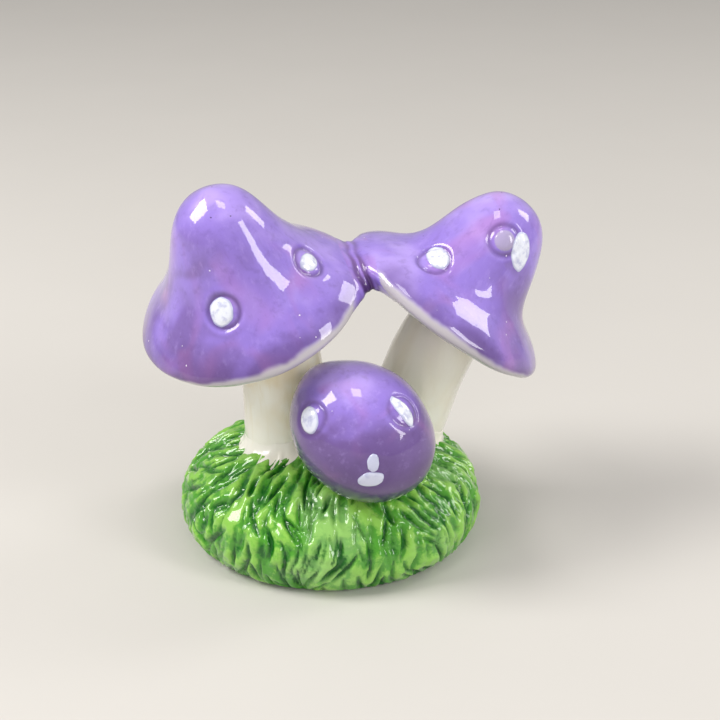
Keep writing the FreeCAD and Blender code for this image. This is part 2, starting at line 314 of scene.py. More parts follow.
def make_piece(name, skins, material, slot, *nodes):
    """One smooth mesh of closed skins (grid in millimetres, its stain, poles), for the nodes."""
    points, faces, stains = [], [], []
    for grid, stain, poles in skins:
        start = sum(len(part) for part in points)
        points.append(skin_points(grid, poles))
        stains.append(skin_points(stain, poles))
        for face in skin_faces(grid.shape[0], grid.shape[1], poles):
            faces.append([corner + start for corner in face])
    mesh = bpy.data.meshes.new(name)
    mesh.from_pydata((np.concatenate(points) * MM).tolist(), [], faces)
    mesh.polygons.foreach_set("use_smooth", [True] * len(faces))
    layer = mesh.color_attributes.new("stain", "FLOAT_COLOR", "POINT")
    layer.data.foreach_set("color", np.concatenate(stains).astype(np.float32).ravel())
    mesh.materials.append(material)
    mesh.update()
    piece = bpy.data.objects.new(name, mesh)
    bpy.context.scene.collection.objects.link(piece)
    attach(piece, "root")
    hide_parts(*nodes)


def plain_stain(grid):
    """A stain of nought all over a grid."""
    return np.zeros(grid.shape[:2] + (4,))


def search_tree(grid, poles):
    """Tree of a skin's faces, for finding places on it."""
    points = [Vector(point) for point in skin_points(grid, poles)]
    return BVHTree.FromPolygons(points, skin_faces(grid.shape[0], grid.shape[1], poles))


def turned(points, matrix):
    """Points of a cap's own frame, brought to its place."""
    rotation = np.array(matrix.to_3x3())
    return points @ rotation.T + np.array(matrix.translation)


# Settings, in the sidebar

def length(name, description, default, low=0.0):
    """A size in metres, given in millimetres."""
    return bpy.props.FloatProperty(
        name=name, description=description, default=default * MM, min=low, unit="LENGTH", precision=5,
    )


def angle(name, description, default):
    """An angle, given in degrees."""
    return bpy.props.FloatProperty(
        name=name, description=description, default=math.radians(default),
        unit="ROTATION", subtype="ANGLE",
    )


def share(name, description, default):
    """A plain number."""
    return bpy.props.FloatProperty(name=name, description=description, default=default)


def colour(name, description, default):
    """A colour in linear light."""
    return bpy.props.FloatVectorProperty(
        name=name, description=description, default=default, size=3, min=0.0, max=1.0,
        subtype="COLOR",
    )


class CapSettings(bpy.types.PropertyGroup):
    """One cap's size, place and lean."""
    radius: length("Radius", "Half width of the rim", 34)
    short_radius: length("Short radius", "Half width of the rim the short way", 34)
    height: length("Height", "From the parting edge to the crown", 42)
    drop: length("Drop", "From the parting edge to the underside's middle", 4)
    x: length("Right", "Place of the rim's centre", 0, low=-1)
    y: length("Back", "Place of the rim's centre", 0, low=-1)
    z: length("Up", "Height of the rim's centre", 70)
    lean_left: angle("Lean left", "Lean of the axis to the left", 0)
    lean_forward: angle("Lean forward", "Lean of the axis to the front", 0)
    turn: angle("Turn", "Turn about the axis", 0)


class GlazeSettings(bpy.types.PropertyGroup):
    """The caps' purple glaze and the white of their undersides."""
    violet: colour("Violet", "Main colour", (0.285, 0.190, 0.64))
    # Lilac on high places is also painted top light where the caps face up
    lilac: colour("Lilac", "Thin glaze on high places", (0.50, 0.37, 0.86))
    mauve: colour("Mauve", "Warm patches", (0.46, 0.20, 0.50))
    # Deep low on the caps is also painted shade where they face down
    deep: colour("Deep", "Thick glaze low on the caps", (0.175, 0.105, 0.33))
    # Plum also paints shade low on the caps and in the big caps' joint
    plum: colour("Plum", "Glaze pooled along the rim and in the grooves", (0.070, 0.028, 0.135))
    # Pale pinhole specks are also painted glints
    pinhole: colour("Pinholes", "White clay that shows in the pinholes", (0.80, 0.76, 0.90))
    white: colour("White", "Undersides", (0.50, 0.47, 0.51))
    ripple_height: length("Ripple height", "Unevenness of the hand-made bells", 0.16)
    ripple_length: length("Ripple length", "Length of the unevenness", 17)
    ring_radius: length("Ring radius", "Middle of the groove round a dot", 4.6)
    groove_width: length("Groove width", "Half width of that groove", 0.85)
    groove_depth: length("Groove depth", "Depth of that groove", 0.65)
    button_radius: length("Button radius", "Raised button inside the ring", 2.9)
    button_rise: length("Button rise", "Height of the button", 0.5)
    wall: length("Wall", "Thickness of the clay", 4)


class EnamelSettings(bpy.types.PropertyGroup):
    """The white dabs on the dots."""
    white: colour("White", "Enamel", (0.80, 0.83, 0.90))
    thickness: length("Thickness", "Height of a dab above the glaze", 0.45)
    wobble: share("Wobble", "Unevenness of a dab's outline", 0.06)


class StemSettings(bpy.types.PropertyGroup):
    """Stems and the slip at their ends."""
    ivory: colour("Ivory", "Glaze", (0.82, 0.745, 0.565))
    slip: colour("Slip", "White slip at the ends", (0.88, 0.87, 0.79))
    wall: length("Wall", "Thickness of the tubes", 3.5)
    tenon: length("Tenon", "Reach into the mound and the caps", 3)
    unevenness: length("Unevenness", "Height of the dents of the hand", 0.22)
    foot_width: length("Foot width", "Reach of the slip over the grass", 1.7)
    foot_height: length("Foot height", "Reach of the slip up the stem", 3.0)
    neck_width: length("Neck width", "Reach of the slip over the underside", 1.6)


class GrassSettings(bpy.types.PropertyGroup):
    """The mound and its sculpted blades."""
    length: length("Length", "Widest left to right", 94)
    depth: length("Depth", "Widest front to back", 88)
    height: length("Height", "Top of the mound", 33.5)
    belly: length("Belly", "Height of the widest section", 11)
    foot_tuck: length("Foot tuck", "How far the foot is set in", 6)
    wall: length("Wall", "Thickness of the clay", 4.5)
    floor: length("Floor", "Thickness of the floor slab", 4)
    gouge_radius: length("Gouge radius", "Roundness of the main grooves", 2.0)
    gouge_depth: length("Gouge depth", "Depth of the main grooves", 1.3)
    gouge_length: length("Gouge length", "Length of the tool's stroke", 26)
    gouge_spacing: length("Gouge spacing", "Between main grooves", 8)
    gouge_room: length("Gouge room", "Clear of the stems' feet", 1.8)
    spacing: length("Spacing", "Between smaller grooves side by side", 3.6)
    row: length("Row", "Between rows of smaller grooves down the mound", 6.4)
    groove_depth: length("Groove depth", "Depth of the deepest smaller grooves", 2.3)
    ridge: colour("Ridge", "Thin glaze on the blades", (0.24, 0.53, 0.075))
    mid: colour("Middle", "Main green", (0.070, 0.31, 0.022))
    pool: colour("Pool", "Thick glaze in the grooves", (0.003, 0.112, 0.005))
    pale: colour("Pale", "Milky patches", (0.31, 0.56, 0.20))
    clay: colour("Clay", "Bare fired clay of the floor slab", (0.70, 0.62, 0.50))
    clay_shade: colour("Clay shade", "Darker clouds in it", (0.56, 0.47, 0.36))
    clay_specks: colour("Clay specks", "Dark specks in it", (0.25, 0.17, 0.11))


class StudioSettings(bpy.types.PropertyGroup):
    """Camera, floor and lights."""
    lens: share("Lens", "Focal length in millimetres on a 36 mm sensor", 75)
    distance: length("Distance", "From the camera to its target", 456)
    pitch: angle("Pitch", "How far the camera looks down", 26)
    target_x: length("Target right", "Place that the camera looks at", 9.3, low=-1)
    target_z: length("Target up", "Place that the camera looks at", 57.1)
    floor: colour("Floor", "Colour of the floor", (0.60, 0.58, 0.55))


# The caps' surfaces

class Form:
    """The outer surface of a cap and its underside, worked out from the settings."""

    # The grid: points round it, between its rows in millimetres, in its curve and down its hollow, and
    # the shares of the height between which a soft corner fades in
    columns = 400
    spacing = 0.36
    curve_count = 900
    inner_count = 26
    corner_fade = (0.75, 0.2)

    # The rim's stains: seeds and waves (length, height) of their borders in millimetres, how far above
    # the white they reach, and how strong they are
    wander_seed, wander_waves = 71, ((9.0, 0.35), (3.0, 0.12))
    pool_seed, pool_waves = 73, ((12.0, 1.6),)
    # Plum run down low on a cap, which also paints shade there
    run_down_seed, run_down_waves = 74, ((10.0, 0.06),)
    white_edge = (1.0, -0.6)
    pool_reach = (7.5, 0.5)
    pool_share, pool_power = 0.55, 1.5
    run_down_end = 0.05
    # Upward part of the normal over which painted top light fades in
    facing_range = (-0.35, 0.95)

    # A dot's stamp: how far off its plane it works in ring radii, how steep its groove is, the lip
    # beside it, and the edge of the button's wash
    stamp_reach = 3
    groove_sharpness = 1.3
    lip_offset, lip_share = 2.1, 0.15
    disc_edge = (1.12, 0.98)

    def __init__(self, side, cap, glaze, shares, dots, seed):
        self.side = side
        self.radius = cap.radius / MM
        self.ratio = cap.short_radius / cap.radius
        self.height = cap.height / MM
        self.drop = cap.drop / MM
        self.dots = dots
        rotation = Matrix.Rotation(-cap.lean_left, 4, "Y") @ Matrix.Rotation(cap.lean_forward, 4, "X")
        rotation = rotation @ Matrix.Rotation(cap.turn, 4, "Z")
        self.place = Matrix.Translation(Vector((cap.x, cap.y, cap.z)) / MM) @ rotation
        knots = [(across * self.radius, up * self.height) for up, across in CROWN_SHARES + shares]
        knots.append((PARTING_SHARE[1] * self.radius, 0.0))
        knots += [(across * self.radius, -down * self.drop) for down, across in UNDERSIDE_SHARES]
        line = smooth_curve(knots, self.curve_count)
        line = line[line[:, 0] > 0]
        line = np.concatenate((((0.0, line[0, 1]),), line))
        line[-1, 0] = 0.0
        self.line = evenly(line, int(run_length(line)[-1] / self.spacing))
        self.widest = int(self.line[:, 0].argmax())
        self.parting = self.widest + int(np.argmin(np.abs(self.line[self.widest:, 1])))
        self.own = revolved(self.line, self.ratio, self.columns)
        if side == "front":
            heading, half, reach = FRONT_CORNER
            off = (np.degrees(turns(self.columns)) - heading) / half
            fade = soft_step(*self.corner_fade, self.line[:, 1:] / self.height)
            bulge = 1 + reach / self.radius * np.exp(-off ** 2) * fade
            self.own[:, :, :2] *= bulge[:, :, None]
        grid = turned(self.own, self.place)
        outward = normals(grid)
        self.stain = plain_stain(grid)
        rise = ripple(grid, glaze.ripple_length / MM, seed) * glaze.ripple_height / MM
        grid = grid + outward * rise[:, :, None]
        self.dot_places = [self.dot_place(*dot[0]) for dot in dots]
        for place, dot in zip(self.dot_places, dots):
            grid = self.stamp(grid, outward, place, glaze, dot[1])
        self.grid = grid
        self.paint()
        self.tree = search_tree(grid, True)

    def cover(self, channel, values):
        """Raises one channel of the stain to the values."""
        self.stain[:, :, channel] = np.maximum(self.stain[:, :, channel], values)

    def dot_place(self, turn, height_share):
        """Place on the surface: X runs round the cap, Y up the bell and Z out of it."""
        level = self.height * height_share
        row = int(np.argmin(np.abs(self.line[:self.widest, 1] - level)))
        east, north = math.cos(math.radians(turn)), math.sin(math.radians(turn))
        across, up = self.line[row]
        reach = across / math.hypot(east, north / self.ratio)
        point = self.place @ Vector((reach * east, reach * north, up))
        slope = self.line[row + 1] - self.line[row - 1]
        outward = Vector((-slope[1] * east, -slope[1] * north / self.ratio ** 2, slope[0]))
        rotation = self.place.to_3x3()
        outward = (rotation @ outward).normalized()
        around = (rotation @ Vector((0, 0, 1))).cross(outward).normalized()
        matrix = Matrix((around, outward.cross(around), outward)).transposed().to_4x4()
        return Matrix.Translation(point) @ matrix

    def paint(self):
        """Stains white towards the underside, plum where the glaze pools and runs down low (also
        painted shade low down), and how thin it has run, with painted top light where the surface
        faces up.
        """
        edge, swing, heading = WHITE_EDGES[self.side]
        level = self.own[:, :, 2].copy()
        level[self.widest:] = np.minimum(level[self.widest:], self.line[self.widest, 1])
        under = run_length(self.line)[self.parting] - run_length(self.line)
        level = np.where(np.arange(len(level))[:, None] > self.parting, under[:, None], level)
        border = edge + swing * np.cos(turns(self.columns) - math.radians(heading))
        above = level - border - ripples(self.grid, self.wander_seed, self.wander_waves)
        white = soft_step(*self.white_edge, above)
        self.cover(WHITENED, white)
        above = above + ripples(self.grid, self.pool_seed, self.pool_waves)
        pooled = self.pool_share * soft_step(*self.pool_reach, above) ** self.pool_power
        height = self.grid[:, :, 2]
        rise = (height - height.min()) / (height.max() - height.min())
        # Plum low on the cap: run-down glaze and painted shade
        depth, start = RUN_DOWN_SHARES[self.side]
        uneven = ripples(self.grid, self.run_down_seed, self.run_down_waves)
        low = depth * soft_step(start, self.run_down_end, rise + uneven)
        self.cover(POOLED, np.maximum(pooled, low) * (1 - white))
        # Lighter where the surface faces up is painted top light; lighter high up is thin glaze and
        # painted top light
        facing_share, rise_share, thicker = THINNESS_SHARES[self.side]
        facing = soft_step(*self.facing_range, normals(self.grid)[:, :, 2])
        self.stain[:, :, THINNED] = np.clip(facing_share * facing + rise_share * rise - thicker, 0, 1)

    def stamp(self, grid, outward, place, glaze, shares):
        """Presses a ring groove and raises its button on the grid."""
        groove_share, button_share, wash = shares
        centre = np.array(place.translation)
        axis = np.array(place.to_3x3().col[2])
        apart = grid - centre
        out = apart @ axis
        away = np.linalg.norm(apart - out[:, :, None] * axis, axis=2)
        ring = glaze.ring_radius / MM
        away = np.where(np.abs(out) < self.stamp_reach * ring, away, np.inf)
        off = (away - ring) * MM / glaze.groove_width
        inside = away * MM / glaze.button_radius
        groove = np.exp(-off ** 2 * self.groove_sharpness) * groove_share
        lip = np.exp(-(off - self.lip_offset) ** 2) * groove_share
        button = np.sqrt(np.clip(1 - inside ** 2, 0, 1))
        rise = glaze.button_rise * button_share * button
        rise = rise + glaze.groove_depth * (self.lip_share * lip - groove)
        self.cover(MARKED, groove)
        self.cover(WHITENED, wash * soft_step(*self.disc_edge, inside))
        return grid + outward * (rise / MM)[:, :, None]

    def signed(self, point):
        """Distance from a point to the surface, less than nought inside, and the stain there."""
        spot, facing, number, away = self.tree.find_nearest(Vector(point))
        row, col = divmod(number, self.columns)
        stain = self.stain[min(row + 1, len(self.stain) - 1), col]
        outside = (Vector(point) - spot).dot(facing) > 0
        return (away if outside else -away), stain

    def inner(self, wall):
        """Grid of the hollow inside the bell, from the parting plane up to its crown."""
        line = evenly(self.line[:self.widest + 1][::-1], self.inner_count)
        line = line * (1 - wall / self.radius, 1 - wall / self.height)
        line[0, 1] = 0.0
        return turned(revolved(line, self.ratio, self.columns), self.place)


def joint(left, right):
    """Where the two big caps all but touch, in millimetres."""
    middle = np.array((left.place.translation + right.place.translation) / 2)
    spots = left.grid[::JOINT_STEP, ::JOINT_STEP].reshape(-1, 3)
    spots = spots[np.linalg.norm(spots - middle, axis=1) < left.radius]
    touch = min(spots, key=lambda point: abs(right.signed(point)[0]))
    other = np.array(right.tree.find_nearest(Vector(touch))[0])
    return (touch + other) / 2


def cap_forms():
    """The caps' surfaces, by side, with the rim's stains faded out where the big ones are fused."""
    scene = bpy.context.scene
    made = {}
    for number, (side, shares, dots) in enumerate((
        ("left", LEFT_BELL_SHARES, LEFT_DOT_SHARES),
        ("right", RIGHT_BELL_SHARES, RIGHT_DOT_SHARES),
        ("front", FRONT_BELL_SHARES, FRONT_DOT_SHARES),
    )):
        cap = getattr(scene, "ornament_" + side)
        made[side] = Form(side, cap, scene.ornament_glaze, shares, dots, BELL_SEED + number)
    workshop["joint"] = joint(made["left"], made["right"])
    for side in ("left", "right"):
        apart = made[side].grid - workshop["joint"]
        away = np.linalg.norm(apart, axis=2)
        kept = np.maximum(soft_step(*JOINT_FADE, away), soft_step(*JOINT_FADE_BELOW, apart[:, :, 2]))
        for channel in (POOLED, WHITENED):
            made[side].stain[:, :, channel] *= kept
    return made


# The finishes

class Finish:
    """A material under construction, with short ways to add its nodes."""

    # Specular level without a coat, what a full coat takes off it, and where the soft edges of a speck
    # and of the choice of its cell start
    specular, coated = 0.5, 0.35
    speck_core, cell_core = 0.5, 0.95

    def __init__(self, name, roughness, coat=0.0, coat_roughness=0.03):
        self.material = bpy.data.materials.new(name)
        self.material.use_nodes = True
        self.tree = self.material.node_tree
        self.shader = self.tree.nodes["Principled BSDF"]
        self.fill(self.shader, {
            "Roughness": roughness, "Coat Weight": coat, "Coat Roughness": coat_roughness,
            "Specular IOR Level": self.specular - self.coated * coat,
        })
        self.place = self.node("ShaderNodeTexCoord").outputs["Object"]

    def node(self, kind, **settings):
        """A new node, with its own settings."""
        node = self.tree.nodes.new(kind)
        for key, value in settings.items():
            setattr(node, key, value)
        return node

    def put(self, socket, value):
        """Links an output to a socket, or sets its plain value."""
        if isinstance(value, bpy.types.NodeSocket):
            self.tree.links.new(value, socket)
        elif isinstance(value, (int, float)):
            socket.default_value = value
        else:
            values = tuple(value)
            wanted = len(socket.default_value)
            socket.default_value = values if len(values) == wanted else values + (1.0,)

    def fill(self, node, values):
        """Puts each value into the node's input of that name or number."""
        for key, value in values.items():
            self.put(node.inputs[key], value)

    def stain(self, channel):
        """One channel of the mesh's stain."""
        stain = self.node("ShaderNodeAttribute", attribute_name="stain")
        if channel == THINNED:
            return stain.outputs["Alpha"]
        return self.part(stain.outputs["Color"], channel)

    def part(self, colour, channel):
        """One channel of a colour."""
        parts = self.node("ShaderNodeSeparateColor")
        self.put(parts.inputs[0], colour)
        return parts.outputs[channel]

    def stretched(self, rotation, scale):
        """Coordinates turned into a piece's own frame and stretched there."""
        mapping = self.node("ShaderNodeMapping")
        self.fill(mapping, {"Vector": self.place, "Rotation": rotation})
        return self.vector("MULTIPLY", mapping.outputs[0], scale)

    def noise(self, size, detail=2.0, roughness=0.5, distortion=0.0, place=None):
        """Fractal noise whose features are about that many millimetres across."""
        noise = self.node("ShaderNodeTexNoise")
        self.fill(noise, {
            "Vector": self.place if place is None else place, "Scale": 1 / (size * MM),
            "Detail": detail, "Roughness": roughness, "Distortion": distortion,
        })
        return noise.outputs[0]

    def specks(self, size, radius, share, seed=0.0):
        """Round specks, one in some of the cells of that many millimetres."""
        cells = self.node("ShaderNodeTexVoronoi")
        place = self.vector("ADD", self.place, (seed, seed, seed))
        self.fill(cells, {"Vector": place, "Scale": 1 / (size * MM)})
        near = self.ranged(cells.outputs["Distance"], radius, radius * self.speck_core)
        chosen = self.ranged(self.part(cells.outputs["Color"], 0), share, share * self.cell_core)
        return self.math("MULTIPLY", near, chosen)

    def ranged(self, value, low, high, out_low=0.0, out_high=1.0):
        """The value mapped smoothly from low..high to out_low..out_high."""
        node = self.node("ShaderNodeMapRange", interpolation_type="SMOOTHSTEP")
        self.fill(node, dict(enumerate((value, low, high, out_low, out_high))))
        return node.outputs[0]

    def math(self, operation, first, second):
        """A sum or product of two values."""
        node = self.node("ShaderNodeMath", operation=operation)
        self.fill(node, {0: first, 1: second})
        return node.outputs[0]

    def vector(self, operation, first, second):
        """A sum or product of two vectors."""
        node = self.node("ShaderNodeVectorMath", operation=operation)
        self.fill(node, {0: first, 1: second})
        return node.outputs[0]

    def mix(self, amount, first, second):
        """Colour from first to second."""
        node = self.node("ShaderNodeMix", data_type="RGBA")
        self.fill(node, {0: amount, 6: first, 7: second})
        return node.outputs[2]

    def veils(self, colour, *veils):
        """The colour under veils of (tint, amount, strength), the first one lowest."""
        for tint, amount, strength in veils:
            colour = self.mix(self.math("MULTIPLY", amount, strength), colour, tint)
        return colour

    def bump(self, height, distance, strength=1.0, below=None):
        """Fine relief, that many millimetres high."""
        node = self.node("ShaderNodeBump")
        self.fill(node, {"Strength": strength, "Distance": distance * MM, "Height": height})
        if below is not None:
            self.put(node.inputs["Normal"], below)
        return node.outputs[0]

    def finish(self, colour, normal=None):
        """The finished material."""
        self.put(self.shader.inputs["Base Color"], colour)
        if normal is not None:
            self.fill(self.shader, {"Normal": normal, "Coat Normal": normal})
        return self.material


def shaded(colour, shades):
    """A colour times a shade for each of its parts."""
    return tuple(part * shade for part, shade in zip(colour, shades))


def purple_glaze(name, matrix):
    """Brushed translucent purple over white clay, under a clear gloss."""
    glaze = bpy.context.scene.ornament_glaze
    finish = Finish(name, roughness=0.32, coat=1.0, coat_roughness=0.012)
    own = matrix.to_3x3().inverted().to_euler()
    brushed = finish.stretched(own, (1.0, 1.0, 0.16))
    streaks = finish.noise(2.2, detail=3.0, roughness=0.6, place=brushed)
    patches = finish.noise(16, distortion=0.4)
    warm = finish.noise(21, detail=1.5, distortion=0.8, place=finish.stretched(own, (1.3, 1.3, 0.8)))
    mottle = finish.noise(3.4, detail=4.0, roughness=0.62)
    dark = finish.specks(5.5, radius=0.055, share=0.45)
    # Pale specks: white clay in pinholes and painted glints
    pale = finish.specks(4.2, radius=0.070, share=0.40, seed=0.31)
    # Deep, violet and lilac by the thin-glaze stain, which also paints top light on upward faces and
    # shade on low ones
    thin = finish.math("ADD", finish.stain(THINNED), finish.ranged(patches, 0.35, 0.70, -0.16, 0.16))
    colour = finish.mix(finish.ranged(thin, 0.10, 0.50), glaze.deep, glaze.violet)
    colour = finish.mix(finish.ranged(thin, 0.45, 1.0), colour, glaze.lilac)
    colour = finish.veils(
        colour,
        (glaze.mauve, finish.ranged(warm, 0.50, 0.74), 0.45),
        (glaze.lilac, finish.ranged(streaks, 0.52, 0.80), 0.26),
        (glaze.deep, finish.ranged(streaks, 0.44, 0.22), 0.30),
        (glaze.plum, finish.ranged(mottle, 0.48, 0.80), 0.24),
        # Plum pooled along the rim, and run down low on the caps and in the joint's creases, where it
        # is also painted shade
        (glaze.plum, finish.stain(POOLED), 1.0),
        (glaze.plum, finish.stain(MARKED), 0.55),
        (glaze.plum, dark, 0.85),
        (glaze.pinhole, pale, 0.9),
        (glaze.white, finish.stain(WHITENED), 1.0),
    )
    waves = finish.bump(finish.noise(6.0, detail=1.5, roughness=0.45), 0.20, 0.55)
    skin = finish.bump(finish.noise(1.3), 0.015, 0.5, below=waves)
    pits = finish.bump(finish.math("SUBTRACT", pale, dark), 0.10, 0.9, below=skin)
    return finish.finish(colour, pits)


def white_glaze(name):
    """Thin white glaze with grey pools, as under the caps."""
    glaze = bpy.context.scene.ornament_glaze
    finish = Finish(name, roughness=0.35, coat=1.0, coat_roughness=0.05)
    patches = finish.noise(9, detail=3.0, roughness=0.55, distortion=0.5)
    grey = shaded(glaze.white, (0.62, 0.62, 0.62))
    colour = finish.mix(finish.ranged(patches, 0.42, 0.70), glaze.white, grey)
    colour = finish.veils(colour, (glaze.plum, finish.specks(5.0, radius=0.06, share=0.35), 0.5))
    return finish.finish(colour, finish.bump(finish.noise(4.0), 0.10, 0.6))


def enamel(name):
    """Thick white enamel, a little blue where it is thin and greyer where shade is painted on it."""
    white = bpy.context.scene.ornament_enamel.white
    finish = Finish(name, roughness=0.25, coat=1.0, coat_roughness=0.03)
    edge = shaded(white, (0.58, 0.58, 0.76))
    cloud = finish.noise(2.4, detail=3.0, roughness=0.6)
    colour = finish.mix(finish.ranged(cloud, 0.46, 0.74), white, edge)
    colour = finish.mix(finish.stain(POOLED), colour, edge)
    return finish.finish(colour, finish.bump(finish.noise(2.2), 0.06, 0.5))


def ivory_glaze(name, slip_share=0.0, coat_roughness=0.06):
    """Cream glaze over the stems, with faint runs and whiter thick places."""
    stems = bpy.context.scene.ornament_stems
    finish = Finish(name, roughness=0.38, coat=1.0, coat_roughness=coat_roughness)
    down = finish.stretched((0, 0, 0), (1.0, 1.0, 0.12))
    runs = finish.noise(2.6, detail=3.0, roughness=0.6, place=down)
    cloud = finish.noise(13, distortion=0.3)
    warm = shaded(stems.ivory, (0.93, 0.90, 0.80))
    # Tan towards the neck: glaze runs, with painted shade and warm reflection under the cap
    tan = shaded(stems.ivory, (0.90, 0.85, 0.76))
    colour = finish.mix(finish.ranged(cloud, 0.40, 0.68), stems.ivory, stems.slip)
    colour = finish.veils(
        colour,
        (warm, finish.ranged(runs, 0.50, 0.80), 0.55),
        (tan, finish.stain(MARKED), 0.9),
        (stems.slip, finish.math("MAXIMUM", finish.stain(POOLED), slip_share), 1.0),
        (warm, finish.specks(4.5, radius=0.05, share=0.30), 0.35),
    )
    waves = finish.bump(runs, 0.05, 0.6)
    return finish.finish(colour, finish.bump(finish.noise(6.0), 0.16, 0.6, below=waves))


def green_glaze(name):
    """Running green glaze: dark where it pools, thin and yellowish on the ridges."""
    grass = bpy.context.scene.ornament_grass
    finish = Finish(name, roughness=0.30, coat=1.0, coat_roughness=0.045)
    cloud = finish.noise(13, distortion=0.6)
    fine = finish.noise(2.0, detail=4.0, roughness=0.65, distortion=0.5)
    thin = finish.math("ADD", finish.stain(MARKED), finish.ranged(fine, 0.35, 0.70, -0.30, 0.30))
    thin = finish.math("ADD", thin, finish.ranged(cloud, 0.35, 0.65, -0.22, 0.22))
    colour = finish.mix(finish.ranged(thin, 0.15, 0.85), grass.mid, grass.ridge)
    colour = finish.mix(finish.stain(WHITENED), colour, grass.pale)
    depth = finish.math("ADD", finish.stain(POOLED), finish.ranged(fine, 0.35, 0.70, -0.16, 0.16))
    colour = finish.mix(finish.ranged(depth, 0.12, 0.62), colour, grass.pool)
    waves = finish.bump(finish.noise(3.2, detail=1.0, roughness=0.4), 0.35, 0.6)
    return finish.finish(colour, finish.bump(finish.noise(1.1), 0.05, 0.5, below=waves))


def bisque(name):
    """Bare fired clay."""
    grass = bpy.context.scene.ornament_grass
    finish = Finish(name, roughness=0.85)
    cloud = finish.ranged(finish.noise(9, detail=4.0, roughness=0.6), 0.35, 0.70)
    colour = finish.mix(cloud, grass.clay, grass.clay_shade)
    specks = finish.specks(2.4, radius=0.10, share=0.40)
    colour = finish.veils(colour, (grass.clay_specks, specks, 0.6))
    return finish.finish(colour, finish.bump(finish.noise(0.7, detail=4.0, roughness=0.6), 0.08, 0.7))


# The stems

class Stem:
    """A bent tube from the mound to a cap."""

    def __init__(self, place, form):
        x, y, lean_left, self.foot_radius, self.neck_radius, offset = place
        stems = bpy.context.scene.ornament_stems
        grass = bpy.context.scene.ornament_grass
        lean = math.radians(lean_left)
        self.form = form
        self.foot = np.array((x, y, mound_top(x, y) - (grass.wall + stems.tenon) / MM))
        self.foot_run = np.array((-math.sin(lean), 0.0, math.cos(lean)))
        self.neck = np.array(form.place @ Vector((0, -offset, stems.tenon / MM)))
        self.neck_run = np.array(form.place.to_3x3().col[2])

    def at(self, share):
        """Centre, direction and radius at a share of the bend, a cubic curve from foot to neck."""
        reach = np.linalg.norm(self.neck - self.foot)
        square, cube = share ** 2, share ** 3
        point = self.foot * (2 * cube - 3 * square + 1) + self.neck * (3 * square - 2 * cube)
        point = point + self.foot_run * reach * (cube - 2 * square + share)
        point = point + self.neck_run * reach * (cube - square)
        run = (self.neck - self.foot) * (6 * share - 6 * square)
        run = run + self.foot_run * reach * (3 * square - 4 * share + 1)
        run = run + self.neck_run * reach * (3 * square - 2 * share)
        return point, unit(run), self.foot_radius + (self.neck_radius - self.foot_radius) * share

    def tube(self, shares, columns, grow=0.0):
        """Grid of rings along the stem."""
        rings = []
        for share in shares:
            point, run, radius = self.at(share)
            rings.append(point + circle(columns) @ np.array(sides(run)) * (radius + grow))
        return np.array(rings)


def sides(run):
    """Two directions square to a run."""
    first = unit(np.cross((0.0, 1.0, 0.0), run))
    return first, np.cross(run, first)


def mound_top(x, y):
    """Height of the mound's plain skin above a place on the table, in millimetres."""
    grass = bpy.context.scene.ornament_grass
    reach = (2 * x * MM / grass.length) ** 2 + (2 * y * MM / grass.depth) ** 2
    return (grass.belly + (grass.height - grass.belly) * np.sqrt(np.clip(1 - reach, 0, 1))) / MM


def under_skin(form, point):
    """How far a point is inside a cap's plain surface, measured along its axis."""
    own = form.place.inverted() @ Vector(point)
    across = math.hypot(own.x, own.y / form.ratio)
    low = form.line[form.widest:][::-1]
    return own.z - np.interp(across, low[:, 0], low[:, 1])


def forms():
    """The caps' surfaces, by side, made once, and with them the stems."""
    if "forms" not in workshop:
        made = workshop["forms"] = cap_forms()
        workshop["stems"] = {side: Stem(place, made[side]) for side, place in STEM_PLACES.items()}
    return workshop["forms"]


def all_stems():
    """The stems, by side."""
    forms()
    return workshop["stems"]


# Pieces

class ORNAMENT_OT_bells(bpy.types.Operator):
    """Build the three purple bells"""
    bl_idname = "ornament.bells"
    bl_label = "Bells"

    # How far the glaze turns under the parting edge, in millimetres
    turn_under = 1.6

    def execute(self, context):
        glaze = context.scene.ornament_glaze
        for side, form in forms().items():
            edge = form.parting + int(self.turn_under / form.spacing)
            inner = form.inner(glaze.wall / MM)
            grid = np.concatenate((form.grid[:edge], inner))
            stain = np.concatenate((form.stain[:edge], plain_stain(inner)))
            material = purple_glaze(side + "_purple_glaze", form.place)
            make_piece(side + "_bell", [(grid, stain, True)], material, "purple_glaze", side + "_cap")
        return {"FINISHED"}


class ORNAMENT_OT_undersides(bpy.types.Operator):
    """Build the white undersides of the caps"""
    bl_idname = "ornament.undersides"
    bl_label = "Undersides"

    # Rows between the parting edge and the underside, how far that lies in, and how thick it is, in
    # millimetres
    lap = 3
    film = 0.03
    thickness = 2.0

    def execute(self, context):
        material = white_glaze("white_glaze")
        for side, form in forms().items():
            start = form.parting + self.lap
            outer = form.grid[start:] - normals(form.grid)[start:] * self.film
            axis = np.array(form.place.to_3x3().col[2])
            lid = outer[::-1] + axis * self.thickness
            grid = np.concatenate((lid, outer))
            make_piece(
                side + "_underside", [(grid, plain_stain(grid), True)], material,
                "white_glaze", side + "_cap_underside",
            )
        return {"FINISHED"}


